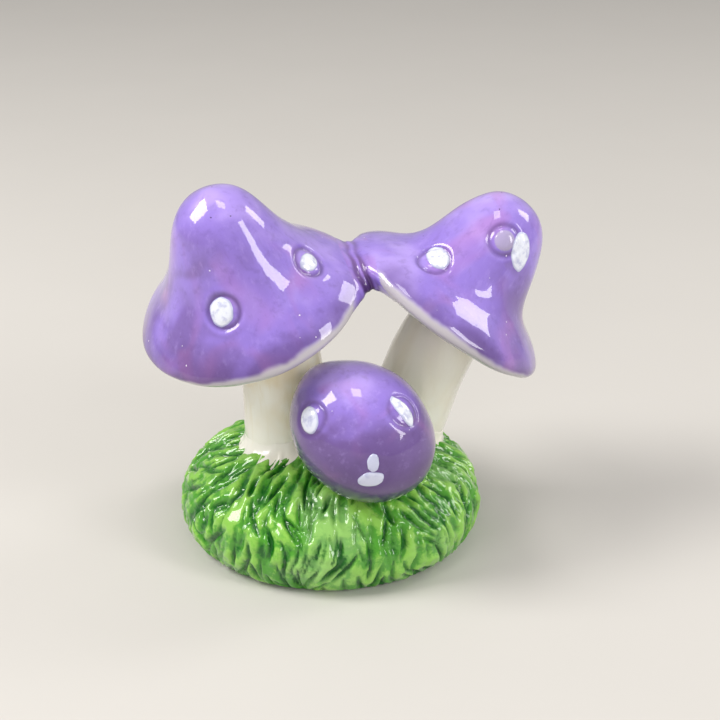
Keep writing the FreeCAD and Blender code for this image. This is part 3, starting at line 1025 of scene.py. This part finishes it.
class ORNAMENT_OT_dots(bpy.types.Operator):
    """Build the dabs of white enamel"""
    bl_idname = "ornament.dots"
    bl_label = "Enamel dots"

    # A dab's grid, how deep it is sunk in millimetres, its uneven outline, how round its top is, and
    # from where to where its edge turns thin
    columns = 72
    rows = 20
    sunk = 0.35
    wobble_waves = ((1.6, 1.0), (0.7, 0.4))
    lift_powers = (5, 0.6)
    thin_edge = (0.80, 1.0)
    seed_step = 100

    def dab(self, form, place, dab, seed):
        """Grid of one dab, with its stain."""
        settings = bpy.context.scene.ornament_enamel
        ring = bpy.context.scene.ornament_glaze.ring_radius / MM
        wide, long, turn, across, up, thin = dab
        outline = circle(self.columns)
        edge = 1 + ripples(outline, seed, self.wobble_waves) * settings.wobble
        out = np.sin(np.linspace(0, math.pi / 2, self.rows))
        flat = out[:, None, None] * (outline * edge[:, None])[None] * (wide * ring, long * ring)
        east, north = math.cos(math.radians(turn)), math.sin(math.radians(turn))
        x = flat[:, :, 0] * east - flat[:, :, 1] * north + across * ring
        y = flat[:, :, 0] * north + flat[:, :, 1] * east + up * ring
        outward = place.to_3x3().col[2]
        base = np.zeros(x.shape + (3,))
        for row, col in np.ndindex(x.shape):
            start = place @ Vector((x[row, col], y[row, col], ring))
            found = form.tree.ray_cast(start, -outward)[0]
            if found is None:
                found = form.tree.find_nearest(place @ Vector((x[row, col], y[row, col], 0)))[0]
            base[row, col] = found
        steep, blunt = self.lift_powers
        rise = (1 - out ** steep) ** blunt * settings.thickness / MM
        top = base + np.array(outward) * rise[:, None, None]
        bottom = base[::-1] - np.array(outward) * self.sunk
        grid = np.concatenate((top, bottom))
        stain = plain_stain(grid)
        # Bluer at a dab's thin edge, and by its own share, which on the front cap's lower dabs is
        # painted shade
        stain[:self.rows, :, POOLED] = np.maximum(soft_step(*self.thin_edge, out)[:, None], thin)
        return grid, stain, True

    def execute(self, context):
        material = enamel("white_enamel")
        for number, (side, form) in enumerate(forms().items()):
            skins = []
            for place, dot in zip(form.dot_places, form.dots):
                for dab in dot[2]:
                    skins.append(self.dab(form, place, dab, self.seed_step * number + len(skins)))
            make_piece(side + "_enamel", skins, material, "white_enamel", side + "_cap_dots")
        return {"FINISHED"}


class ORNAMENT_OT_bridge(bpy.types.Operator):
    """Build the fillet of clay where the two big caps are fused"""
    bl_idname = "ornament.bridge"
    bl_label = "Cap bridge"

    # The fillet: how wide the caps blend, at the top and from its belly down, how far it reaches along
    # and away from its middle, and how far that lies under the joint, in millimetres
    columns = 132
    rows = 66
    blend = 7.0
    low_blend = 13.5
    belly = (0.0, -6.0)
    reach = 8.0
    step_power = 1.3
    away = 24.0
    halvings = 15
    sag = 1.5
    tilt_share = 0.4

    # The creases pressed along the joint
    fold_length = 2.6
    fold_height = 0.85
    fold_spread = 2.3
    fold_offset = 0.6
    fold_seed, fold_waves = 401, ((11.0, 0.4),)
    fold_faintest = 0.12
    fold_fade = (7.0, 1.0)
    ridge_share, ridge_spread, ridge_rise = 0.45, 0.9, (1.0, -4.0)
    offset_ratio = 1.6

    # How the fillet sinks under the bells at its ends, and its stains: plum pooled in the creases and
    # under the joint, and thicker glaze in the creases, both also painted shade there
    sink_least, sink_most, sink_range = 0.05, 0.9, (0.86, 1.0)
    crease_gain = 2.2
    crease_plum, low_crease_plum, low_range = 0.30, 0.60, (4.0, -4.0)
    under_plum, under_range, under_spread = 0.9, (-3.0, -6.5), 3.2
    white_range = (3.5, 7.0)
    crease_thickness = 0.6

    def joined(self, left, right, point):
        """Height of a point above the two caps' blended surface."""
        first = left.signed(point)[0]
        second = right.signed(point)[0]
        deeper = soft_step(*self.belly, point[2] - self.level)
        blend = self.blend + (self.low_blend - self.blend) * deeper
        near = max(blend - abs(first - second), 0.0)
        return min(first, second) - near * near / (4 * blend)

    def meet(self, left, right, start, out):
        """The point where a line from start towards out leaves the blended surface."""
        low, high = 0.0, self.away
        for halving in range(self.halvings):
            half = (low + high) / 2
            if self.joined(left, right, start + out * half) < 0:
                low = half
            else:
                high = half
        return start + out * low

    def folds(self, nearer, grid, rise):
        """Depth of the creases."""
        off = nearer / self.offset_ratio + self.fold_offset
        off = off + ripples(grid, self.fold_seed, self.fold_waves)
        folds = np.sin(math.pi * off / self.fold_length) ** 2 * np.exp(-(off / self.fold_spread) ** 2)
        ridge = np.exp(-(off / self.ridge_spread) ** 2) * soft_step(*self.ridge_rise, rise)
        shown = self.fold_faintest + (1 - self.fold_faintest) * soft_step(*self.fold_fade, rise)
        return (folds + self.ridge_share * ridge) * self.fold_height * shown

    def execute(self, context):
        left, right = forms()["left"], forms()["right"]
        centre = workshop["joint"] - (0.0, 0.0, self.sag)
        self.level = centre[2]
        across = np.array((right.place.translation - left.place.translation).normalized())
        across = unit(across * (1, 1, self.tilt_share))
        side = unit(np.cross((0.0, 0.0, 1.0), across))
        up = np.cross(across, side)
        steps = np.linspace(-1, 1, self.rows)
        steps = np.sign(steps) * np.abs(steps) ** self.step_power * self.reach
        grid = np.zeros((self.rows, self.columns, 3))
        nearer = np.zeros(grid.shape[:2])
        stain = plain_stain(grid)
        for col, turn in enumerate(turns(self.columns)):
            out = math.cos(turn) * side + math.sin(turn) * up
            for row, step in enumerate(steps):
                point = self.meet(left, right, centre + across * step, out)
                first, first_stain = left.signed(point)
                second, second_stain = right.signed(point)
                weight = soft_step(-self.blend / 2, self.blend / 2, first - second)
                grid[row, col] = point
                nearer[row, col] = first - second
                stain[row, col] = first_stain * (1 - weight) + second_stain * weight
        rise = (grid - centre) @ up
        folds = self.folds(nearer, grid, rise)
        # Plum and thicker glaze in the creases and under the joint: pooled glaze and painted shade
        creased = np.clip(self.crease_gain * folds / self.fold_height, 0, 1)
        low = self.low_crease_plum * soft_step(*self.low_range, rise)
        pooled = creased * (self.crease_plum + low)
        under = np.exp(-(steps[:, None] / self.under_spread) ** 2)
        under = soft_step(*self.under_range, rise) * under
        pooled = np.maximum(pooled, self.under_plum * under)
        stain[:, :, POOLED] = np.clip(np.maximum(stain[:, :, POOLED], pooled), 0, 1)
        stain[:, :, WHITENED] *= soft_step(*self.white_range, np.abs(steps))[:, None]
        stain[:, :, THINNED] *= 1 - self.crease_thickness * creased
        off = np.abs(steps) / self.reach
        sink = self.sink_least + self.sink_most * soft_step(*self.sink_range, off)
        inward = centre - grid
        inward -= (inward @ across)[:, :, None] * across
        inward /= np.maximum(np.linalg.norm(inward, axis=2, keepdims=True), TINY)
        grid = grid + inward * (sink[:, None] + folds)[:, :, None]
        ends = [np.broadcast_to(centre + across * steps[end], grid[:1].shape) for end in (0, -1)]
        grid = np.concatenate((ends[0], grid, ends[1]))
        stain = np.concatenate((stain[:1], stain, stain[-1:]))
        material = purple_glaze("bridge_purple_glaze", Matrix.Identity(4))
        make_piece("bridge_fillet", [(grid, stain, True)], material, "purple_glaze", "cap_bridge")
        return {"FINISHED"}


class ORNAMENT_OT_slips(bpy.types.Operator):
    """Build the fillets of white slip at the ends of the stems"""
    bl_idname = "ornament.slips"
    bl_label = "Slips"

    # The fillet's grid, how deep its body is sunk, how far its edge lies under the skin, and its
    # hollow face, in millimetres or in shares of its reaches
    columns = 150
    arc_rows = 14
    probes = 160
    sunk = 1.1
    film = 0.12
    least_reach = 0.3
    look_back = 3.0
    hollow_out, hollow_up = 0.12, 0.04
    top_gap = 0.05

    # Its wavy edges, as waves (length, height) on a circle of radius one, and where a foot's wide
    # front lies
    tall_waves = ((1.5, 0.25), (0.45, 0.06))
    wide_waves = ((1.2, 0.28), (0.35, 0.10))
    front_turn, front_power = 0.25, 1.5
    foot_seed, neck_seed, seed_step = 500, 600, 10

    def collar(self, stem, end, inside, tree, reaches, seed):
        """Grid of one fillet round a stem, where its skin meets the other surface."""
        up_reach, out_reach, front_reach = reaches
        outline = circle(self.columns)
        tall = up_reach * (1 + ripples(outline, seed, self.tall_waves))
        front = np.clip(-np.sin(turns(self.columns) + self.front_turn), 0, 1) ** self.front_power
        wide = out_reach + (front_reach - out_reach) * front
        wide = wide * (1 + ripples(outline, seed + 2, self.wide_waves))
        arc = np.linspace(0, 1, self.arc_rows)[:, None]
        grid = np.zeros((self.arc_rows + 3, self.columns, 3))
        for col, (east, north) in enumerate(outline):
            last = None
            for share in np.linspace(0.5, end, self.probes):
                point, run, radius = stem.at(share)
                first, second = sides(run)
                ring = east * first + north * second
                spot = point + ring * radius
                if inside(spot) > 0:
                    break
                last = spot
            home = run if end < 0.5 else -run
            corner = (last + spot) / 2
            high = corner + home * max(tall[col], self.least_reach)
            flat = corner + ring * max(wide[col], self.least_reach) + home * self.look_back
            found = tree.ray_cast(Vector(flat), Vector(-home))[0]
            flat = (flat if found is None else np.array(found)) - home * self.film
            control = corner + ring * self.hollow_out * wide[col] + home * self.hollow_up * tall[col]
            grid[:-3, col] = high * (1 - arc) ** 2 + control * 2 * arc * (1 - arc) + flat * arc ** 2
            grid[0, col] -= ring * self.top_gap
            grid[-3, col] = flat - home * self.sunk
            grid[-2, col] = corner - ring * self.sunk - home * self.sunk
            grid[-1, col] = high - ring * self.sunk
        return grid

    def execute(self, context):
        settings = context.scene.ornament_stems
        neck_reach = settings.neck_width / MM
        material = ivory_glaze("white_slip", slip_share=0.75, coat_roughness=0.22)
        for number, (side, stem) in enumerate(all_stems().items()):
            form = stem.form
            foot = self.collar(
                stem, 0.0, lambda point: mound_top(point[0], point[1]) - point[2], workshop["mound"],
                (settings.foot_height / MM, settings.foot_width / MM, FOOT_SPREADS[side]),
                self.foot_seed + self.seed_step * number,
            )
            neck = self.collar(
                stem, 1.0, lambda point: under_skin(form, point), form.tree, (neck_reach,) * 3,
                self.neck_seed + self.seed_step * number,
            )
            for name, grid in (("foot", foot), ("neck", neck[:, ::-1])):
                make_piece(
                    side + "_" + name + "_fillet", [(grid, plain_stain(grid), False)], material,
                    "ivory_glaze", side + "_" + name + "_slip",
                )
        return {"FINISHED"}


class ORNAMENT_OT_stems(bpy.types.Operator):
    """Build the ivory stems"""
    bl_idname = "ornament.stems"
    bl_label = "Stems"

    # The stem's grid, its dents (length, first seed, squeeze along the stem, share of the unevenness),
    # and its glaze: drips, darker tan towards the neck (glaze runs with painted shade and warm
    # reflection under the cap) and slip towards the foot
    columns = 160
    rows = 150
    inner_rows = 30
    dents = ((16.0, 200, 1.0, 1.0), (5.0, 210, 0.25, 0.3))
    dent_fade = 0.2
    drip_length, drip_seed, drip_squeeze = 6.0, 220, 0.2
    tan_range, tan_wave = (0.40, 0.95), 0.12
    slip_share, slip_range, slip_wave = 0.8, (0.38, 0.12), 0.08
    milky_wave = 0.25

    def execute(self, context):
        settings = context.scene.ornament_stems
        material = ivory_glaze("ivory_glaze")
        for number, (side, stem) in enumerate(all_stems().items()):
            shares = np.linspace(0, 1, self.rows)
            outer = stem.tube(shares, self.columns)
            dents = sum(
                ripple(outer * (1, 1, squeeze), length, seed + number) * settings.unevenness * share
                for length, seed, squeeze, share in self.dents
            )
            fade = soft_step(0.0, self.dent_fade, shares) * soft_step(1.0, 1 - self.dent_fade, shares)
            outer = outer - normals(outer) * (dents * fade[:, None])[:, :, None] / MM
            inner = stem.tube(np.linspace(1, 0, self.inner_rows), self.columns, -settings.wall / MM)
            grid = np.concatenate((outer, inner))
            down = outer * (1, 1, self.drip_squeeze)
            drips = ripple(down, self.drip_length, self.drip_seed + number)
            up = shares[:, None]
            slip = self.slip_share * soft_step(*self.slip_range, up + self.slip_wave * drips)
            milky = SLIP_SHARES[side] * (1 + self.milky_wave * drips)
            stain = plain_stain(grid)
            # Darker tan towards the neck: glaze runs with painted shade and warm reflection under the
            # cap
            stain[:self.rows, :, MARKED] = soft_step(*self.tan_range, up + self.tan_wave * drips)
            stain[:self.rows, :, POOLED] = np.maximum(slip, milky)
            make_piece(
                side + "_stem_glaze", [(grid[::-1], stain[::-1], False)], material,
                "ivory_glaze", side + "_stem",
            )
        return {"FINISHED"}


class ORNAMENT_OT_grass(bpy.types.Operator):
    """Build the mound with its sculpted grass"""
    bl_idname = "ornament.grass"
    bl_label = "Grass mound"

    # The mound's grid: points round it, between its rows in millimetres, and in its two curves
    columns = 520
    spacing = 0.42
    curve_count = 400
    inner_count = 9

    # The smaller strokes: their first row from the mound's top and last row above its foot, their
    # jitter in shares of their spacing, length, lean in radians, half width and depth, and the swirl
    # that they follow
    seed = 5
    first_row, last_row = 3.0, 2.0
    fewest = 5
    heading_jitter, row_jitter = 0.32, 0.5
    lengths = (8.0, 17.0)
    lean_spread = 0.24
    steps = 10
    tightest = 4.0
    widths = (0.45, 1.05)
    depth_shares = (0.35, 1.0)
    swirl_seed, swirl_waves = 301, ((34.0, 0.55), (15.0, 0.25))

    # How a stroke cuts: the cells that sort the points, how far it reaches in half widths, how its
    # ends taper and narrow, and how steep it is
    cell = 6.0
    cut_reach = 2.4
    taper_power, narrowest = 0.6, 0.55
    steepness = 1.2

    # The swell between the cuts, and how the relief fades out at the foot
    swell_seed, swell_waves, lift = 303, ((8.0, 0.42), (3.6, 0.20)), 0.25
    swell_fade, cut_fade = (0.0, 8.0), (0.0, 1.4)

    # Stains: pools in the cuts, thin glaze on the ridges, milky patches and a milky front
    pool_power, pool_least, pool_wave, pool_length, pool_seed = 0.95, 0.85, 0.35, 18.0, 305
    ridge_level, ridge_cut, ridge_swell, ridge_low = 0.80, 1.7, 1.2, 0.35
    low_range = (9.0, 1.0)
    milky_share, milky_range, milky_length, milky_seed = 0.42, (0.35, 1.3), 24.0, 306
    front_place, front_range, front_share = (-1.0, -38.0), (16.0, 4.0), 1.1

    # The main gouges: how much more room their middles need than their tops in millimetres, the part
    # of their length between the two, and how often their edges are smoothed
    middle_room = 3.0
    top_part = 3
    smoothings = 3

    def outline(self, grass):
        """Line down the mound, from its top to its foot: (radius, height)."""
        half, low = grass.length / 2 / MM, grass.belly / MM
        tuck = grass.foot_tuck / MM
        turn = np.linspace(0, math.pi / 2, self.curve_count)
        top = np.stack((half * np.sin(turn), low + (grass.height / MM - low) * np.cos(turn)), axis=1)
        foot = np.stack((half - tuck + tuck * np.cos(turn), low - low * np.sin(turn)), axis=1)
        line = np.concatenate((top, foot[1:]))
        return evenly(line, int(run_length(line)[-1] / self.spacing))

    def strokes(self, line, ratio, grass, random):
        """Centre lines of the grooves, flowing down the mound: (points, width, depth)."""
        run = run_length(line)
        found = []
        row = self.first_row
        while row < run[-1] - self.last_row:
            radius = np.interp(row, run, line[:, 0])
            count = max(self.fewest, int(2 * math.pi * radius * MM / grass.spacing))
            start = random.uniform(0, 2 * math.pi)
            for number in range(count):
                jitter = random.uniform(-self.heading_jitter, self.heading_jitter)
                heading = start + 2 * math.pi * (number + jitter) / count
                at = row + random.uniform(-self.row_jitter, self.row_jitter) * grass.row / MM
                stride = random.uniform(*self.lengths) / self.steps
                lean = random.normal(0, self.lean_spread)
                points = []
                for step in range(self.steps + 1):
                    along = np.clip(at, 0, run[-1])
                    radius, height = (np.interp(along, run, column) for column in line.T)
                    east, north = math.cos(heading), math.sin(heading)
                    points.append(np.array((radius * east, radius * north * ratio, height)))
                    slope = ripples(points[-1][None], self.swirl_seed, self.swirl_waves)[0] + lean
                    at += math.cos(slope) * stride
                    heading += math.sin(slope) * stride / max(radius, self.tightest)
                width = random.uniform(*self.widths)
                depth = random.uniform(*self.depth_shares) * grass.groove_depth / MM
                found.append((np.array(points), width, depth))
            row += grass.row / MM
        return found

    def gouges(self, grass):
        """Straight rods of the main grooves: (start, direction), clear of the stems' feet."""
        half, rise = grass.length / 2 / MM, (grass.height - grass.belly) / MM
        ratio = grass.depth / grass.length
        rods = []
        for ring, (down, lean, swing) in enumerate(GOUGE_RING_SHARES):
            around = down * math.pi / 2
            reach = math.sin(around) * half
            count = int(2 * math.pi * reach * MM / grass.gouge_spacing)
            level = grass.belly / MM + rise * math.cos(around)
            for number in range(count):
                heading = 2 * math.pi * (number + ring / 2) / count
                east, north = math.cos(heading), math.sin(heading)
                point = Vector((reach * east, reach * north * ratio, level))
                slope = math.cos(around) * half
                fall = Vector((slope * east, slope * north * ratio, -rise * math.sin(around)))
                outward = fall.cross(Vector((-north, east * ratio, 0.0))).normalized()
                turn = math.radians(lean + swing * math.sin(number * GOUGE_SWING_STEP))
                along = (Matrix.Rotation(turn, 3, outward) @ fall).normalized()
                if self.clear(point, along, grass):
                    start = point + outward * (grass.gouge_radius - grass.gouge_depth) / MM
                    rods.append((start - along * grass.gouge_length / MM / 2, along))
        return rods

    def clear(self, point, along, grass):
        """Whether a gouge keeps away from the stems' feet."""
        top = point - along * grass.gouge_length / MM / self.top_part
        for x, y, lean, foot_radius, neck_radius, offset in STEM_PLACES.values():
            room = foot_radius + grass.gouge_room / MM
            for place, spare in ((point, self.middle_room), (top, 0.0)):
                if math.hypot(place.x - x, place.y - y) < room + spare:
                    return False
        return True

    def gouge(self, grid, outward, grass):
        """Depth that the main grooves cut into the grid, with their edges rounded off."""
        radius = grass.gouge_radius / MM
        depth = np.zeros(grid.shape[:2])
        for start, along in self.gouges(grass):
            along = np.array(along)
            apart = grid - np.array(start)
            run = apart @ along
            off = apart - run[:, :, None] * along
            inside = (off ** 2).sum(axis=2) - radius ** 2
            near = (inside < 0) & (run > 0) & (run < grass.gouge_length / MM)
            square = outward[near] - (outward[near] @ along)[:, None] * along
            size = np.maximum((square ** 2).sum(axis=1), TINY)
            level = (off[near] * square).sum(axis=1)
            dip = (level + np.sqrt(np.maximum(level ** 2 - size * inside[near], 0))) / size
            depth[near] = np.maximum(depth[near], dip)
        for smoothing in range(self.smoothings):
            depth = (np.roll(depth, 1, axis=1) + 2 * depth + np.roll(depth, -1, axis=1)) / 4
            depth[1:-1] = (depth[:-2] + 2 * depth[1:-1] + depth[2:]) / 4
        return depth

    def carve(self, grid, strokes):
        """Depth carved into the grid by the strokes."""
        depth = np.zeros(grid.shape[:2])
        flat = grid.reshape(-1, 3)
        cut = depth.reshape(-1)
        keys = np.floor(flat / self.cell).astype(int)
        order = np.lexsort(keys.T)
        breaks = np.flatnonzero(np.any(np.diff(keys[order], axis=0), axis=1)) + 1
        cells = {tuple(keys[group[0]]): group for group in np.split(order, breaks)}
        for points, width, deep in strokes:
            reach = self.cut_reach * width
            low = np.floor((points.min(axis=0) - reach) / self.cell).astype(int)
            high = np.floor((points.max(axis=0) + reach) / self.cell).astype(int)
            spans = (range(start, end + 1) for start, end in zip(low, high))
            groups = [cells[key] for key in itertools.product(*spans) if key in cells]
            if not groups:
                continue
            near = np.concatenate(groups)
            starts = points[:-1]
            runs = points[1:] - starts
            lengths = np.maximum((runs ** 2).sum(axis=1), TINY)
            apart = flat[near][:, None] - starts[None]
            along = np.clip((apart * runs).sum(axis=2) / lengths, 0, 1)
            away = np.linalg.norm(apart - along[:, :, None] * runs, axis=2)
            best = away.argmin(axis=1)
            rows = np.arange(len(near))
            share = (best + along[rows, best]) / len(runs)
            taper = np.sin(math.pi * np.clip(share, 0, 1)) ** self.taper_power
            narrow = width * (self.narrowest + (1 - self.narrowest) * taper)
            dip = deep * taper * np.exp(-(away[rows, best] / narrow) ** 2 * self.steepness)
            cut[near] = np.maximum(cut[near], dip)
        return depth

    def hollow(self, grass):
        """Line of the inside, from the foot's rim over the floor slab's edge to the crown."""
        wall, low, top = grass.wall / MM, grass.belly / MM, grass.height / MM
        half = grass.length / 2 / MM
        rim = half - grass.foot_tuck / MM - wall
        turn = np.linspace(math.pi / 2, 0, self.inner_count)
        crown = low + (top - wall - low) * np.cos(turn)
        dome = np.stack(((half - wall) * np.sin(turn), crown), axis=1)
        return np.concatenate((((rim, 0.0), (rim, grass.floor / MM)), dome))

    def stained(self, grid, cut, swell):
        """Stain of the mound's skin."""
        stain = plain_stain(grid)
        low = soft_step(*self.low_range, grid[:, :, 2])
        thick = self.pool_least + self.pool_wave * ripple(grid, self.pool_length, self.pool_seed)
        stain[:, :, POOLED] = np.clip(cut, 0, 1) ** self.pool_power * thick
        ridge = self.ridge_level - self.ridge_cut * cut + self.ridge_swell * swell
        stain[:, :, MARKED] = np.clip(ridge - self.ridge_low * low, 0, 1)
        away = np.linalg.norm(grid[:, :, :2] - self.front_place, axis=2)
        milky = ripple(grid, self.milky_length, self.milky_seed)
        milky = milky + self.front_share * soft_step(*self.front_range, away)
        stain[:, :, WHITENED] = self.milky_share * soft_step(*self.milky_range, milky) * (1 - low)
        return stain

    def execute(self, context):
        grass = context.scene.ornament_grass
        line = self.outline(grass)
        ratio = grass.depth / grass.length
        grid = revolved(line, ratio, self.columns)
        outward = normals(grid)
        cut = self.carve(grid, self.strokes(line, ratio, grass, np.random.default_rng(self.seed)))
        cut = np.maximum(cut, self.gouge(grid, outward, grass))
        swell = ripples(grid, self.swell_seed, self.swell_waves)
        height = grid[:, :, 2]
        relief = (self.lift + swell) * soft_step(*self.swell_fade, height)
        relief = relief - cut * soft_step(*self.cut_fade, height)
        shaped = grid + outward * relief[:, :, None]
        shaped[:, :, 2] = np.maximum(shaped[:, :, 2], 0.0)
        shaped[-1, :, 2] = 0.0
        stain = self.stained(grid, cut * MM / grass.groove_depth, swell)
        inner = revolved(self.hollow(grass), ratio, self.columns)
        whole = np.concatenate((shaped, inner))
        stains = np.concatenate((stain, plain_stain(inner)))
        workshop["mound"] = search_tree(whole, True)
        material = green_glaze("green_glaze")
        make_piece("grass_relief", [(whole, stains, True)], material, "green_glaze", "grass_mound")
        floor_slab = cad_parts["base_floor"]
        floor_slab.data.materials.clear()
        floor_slab.data.materials.append(bisque("bisque"))
        return {"FINISHED"}


class ORNAMENT_OT_studio(bpy.types.Operator):
    """Set the camera, the floor and the lights"""
    bl_idname = "ornament.studio"
    bl_label = "Studio"

    def add(self, name, data):
        """An object in the scene, with its data."""
        added = bpy.data.objects.new(name, data)
        bpy.context.scene.collection.objects.link(added)
        return added

    def light(self, name, heading, height, distance, size, tall, power, colour):
        """A soft box that faces the ornament."""
        data = bpy.data.lights.new(name, "AREA")
        data.shape = "RECTANGLE"
        data.size = size
        data.size_y = tall
        data.energy = power
        data.color = colour
        light = self.add(name, data)
        turn, rise = math.radians(heading), math.radians(height)
        level = math.cos(rise)
        away = Vector((math.sin(turn) * level, -math.cos(turn) * level, math.sin(rise)))
        light.location = Vector(LIGHT_TARGET) + away * distance
        light.rotation_euler = (-away).to_track_quat("-Z", "Y").to_euler()
        light.visible_glossy = name != UNSEEN_LIGHT

    def execute(self, context):
        scene = context.scene
        studio = scene.ornament_studio
        camera = bpy.data.cameras.new("camera")
        camera.lens = studio.lens
        camera.sensor_width = SENSOR_WIDTH
        camera.clip_start = CLIP_START
        holder = self.add("camera", camera)
        away = Vector((0.0, -math.cos(studio.pitch), math.sin(studio.pitch))) * studio.distance
        holder.location = Vector((studio.target_x, 0.0, studio.target_z)) + away
        holder.rotation_euler = (math.pi / 2 - studio.pitch, 0.0, 0.0)
        scene.camera = holder
        mesh = bpy.data.meshes.new("studio_floor")
        places = ((-1, -1), (1, -1), (1, 1), (-1, 1))
        corners = [(x * FLOOR_REACH, y * FLOOR_REACH, 0.0) for x, y in places]
        mesh.from_pydata(corners, [], [(0, 1, 2, 3)])
        floor = self.add("studio_floor", mesh)
        finish = Finish("studio_floor", roughness=0.6)
        cloud = finish.noise(60)
        mesh.materials.append(finish.finish(finish.mix(cloud, studio.floor, studio.floor * 0.97)))
        world = bpy.data.worlds.new("studio")
        world.use_nodes = True
        background = world.node_tree.nodes["Background"]
        background.inputs["Color"].default_value = WORLD_COLOUR + (1.0,)
        background.inputs["Strength"].default_value = WORLD_STRENGTH
        scene.world = world
        for name, place in LIGHTS.items():
            self.light(name, *place)
        scene.view_settings.view_transform = "Standard"
        return {"FINISHED"}


class ORNAMENT_PT_panel(bpy.types.Panel):
    """Sizes, colours and the steps that build the ornament"""
    bl_idname = "ORNAMENT_PT_panel"
    bl_label = "Mushroom ornament"
    bl_space_type = "VIEW_3D"
    bl_region_type = "UI"
    bl_category = "Mushrooms"

    def draw(self, context):
        """Lists the steps, then every setting."""
        for step in STEPS:
            self.layout.operator(step.bl_idname)
        for name in SETTINGS:
            settings = getattr(context.scene, name)
            box = self.layout.box()
            box.label(text=name)
            for key in settings.bl_rna.properties.keys():
                if key not in ("rna_type", "name"):
                    box.prop(settings, key)


STEPS = (
    ORNAMENT_OT_bells,
    ORNAMENT_OT_undersides,
    ORNAMENT_OT_dots,
    ORNAMENT_OT_bridge,
    ORNAMENT_OT_stems,
    ORNAMENT_OT_grass,
    ORNAMENT_OT_slips,
    ORNAMENT_OT_studio,
)
SETTINGS = {
    "ornament_left": CapSettings,
    "ornament_right": CapSettings,
    "ornament_front": CapSettings,
    "ornament_glaze": GlazeSettings,
    "ornament_enamel": EnamelSettings,
    "ornament_stems": StemSettings,
    "ornament_grass": GrassSettings,
    "ornament_studio": StudioSettings,
}
GROUPS = tuple(dict.fromkeys(SETTINGS.values()))


def register():
    """Adds the classes and the settings."""
    for group in GROUPS + STEPS + (ORNAMENT_PT_panel,):
        bpy.utils.register_class(group)
    for name, group in SETTINGS.items():
        setattr(bpy.types.Scene, name, bpy.props.PointerProperty(type=group))


def unregister():
    """Takes them away again."""
    for name in SETTINGS:
        delattr(bpy.types.Scene, name)
    for group in (ORNAMENT_PT_panel,) + STEPS[::-1] + GROUPS[::-1]:
        bpy.utils.unregister_class(group)


def main():
    """Builds everything."""
    register()
    for name, sizes in CAP_SIZES.items():
        settings = getattr(bpy.context.scene, name)
        for key, size in zip(CAP_LENGTHS, sizes):
            setattr(settings, key, size * MM)
        for key, turn in zip(CAP_ANGLES, sizes[len(CAP_LENGTHS):]):
            setattr(settings, key, math.radians(turn))
    bpy.ops.ornament.bells()
    bpy.ops.ornament.undersides()
    bpy.ops.ornament.dots()
    bpy.ops.ornament.bridge()
    bpy.ops.ornament.stems()
    bpy.ops.ornament.grass()
    bpy.ops.ornament.slips()
    bpy.ops.ornament.studio()


if __name__ == "__main__":
    main()
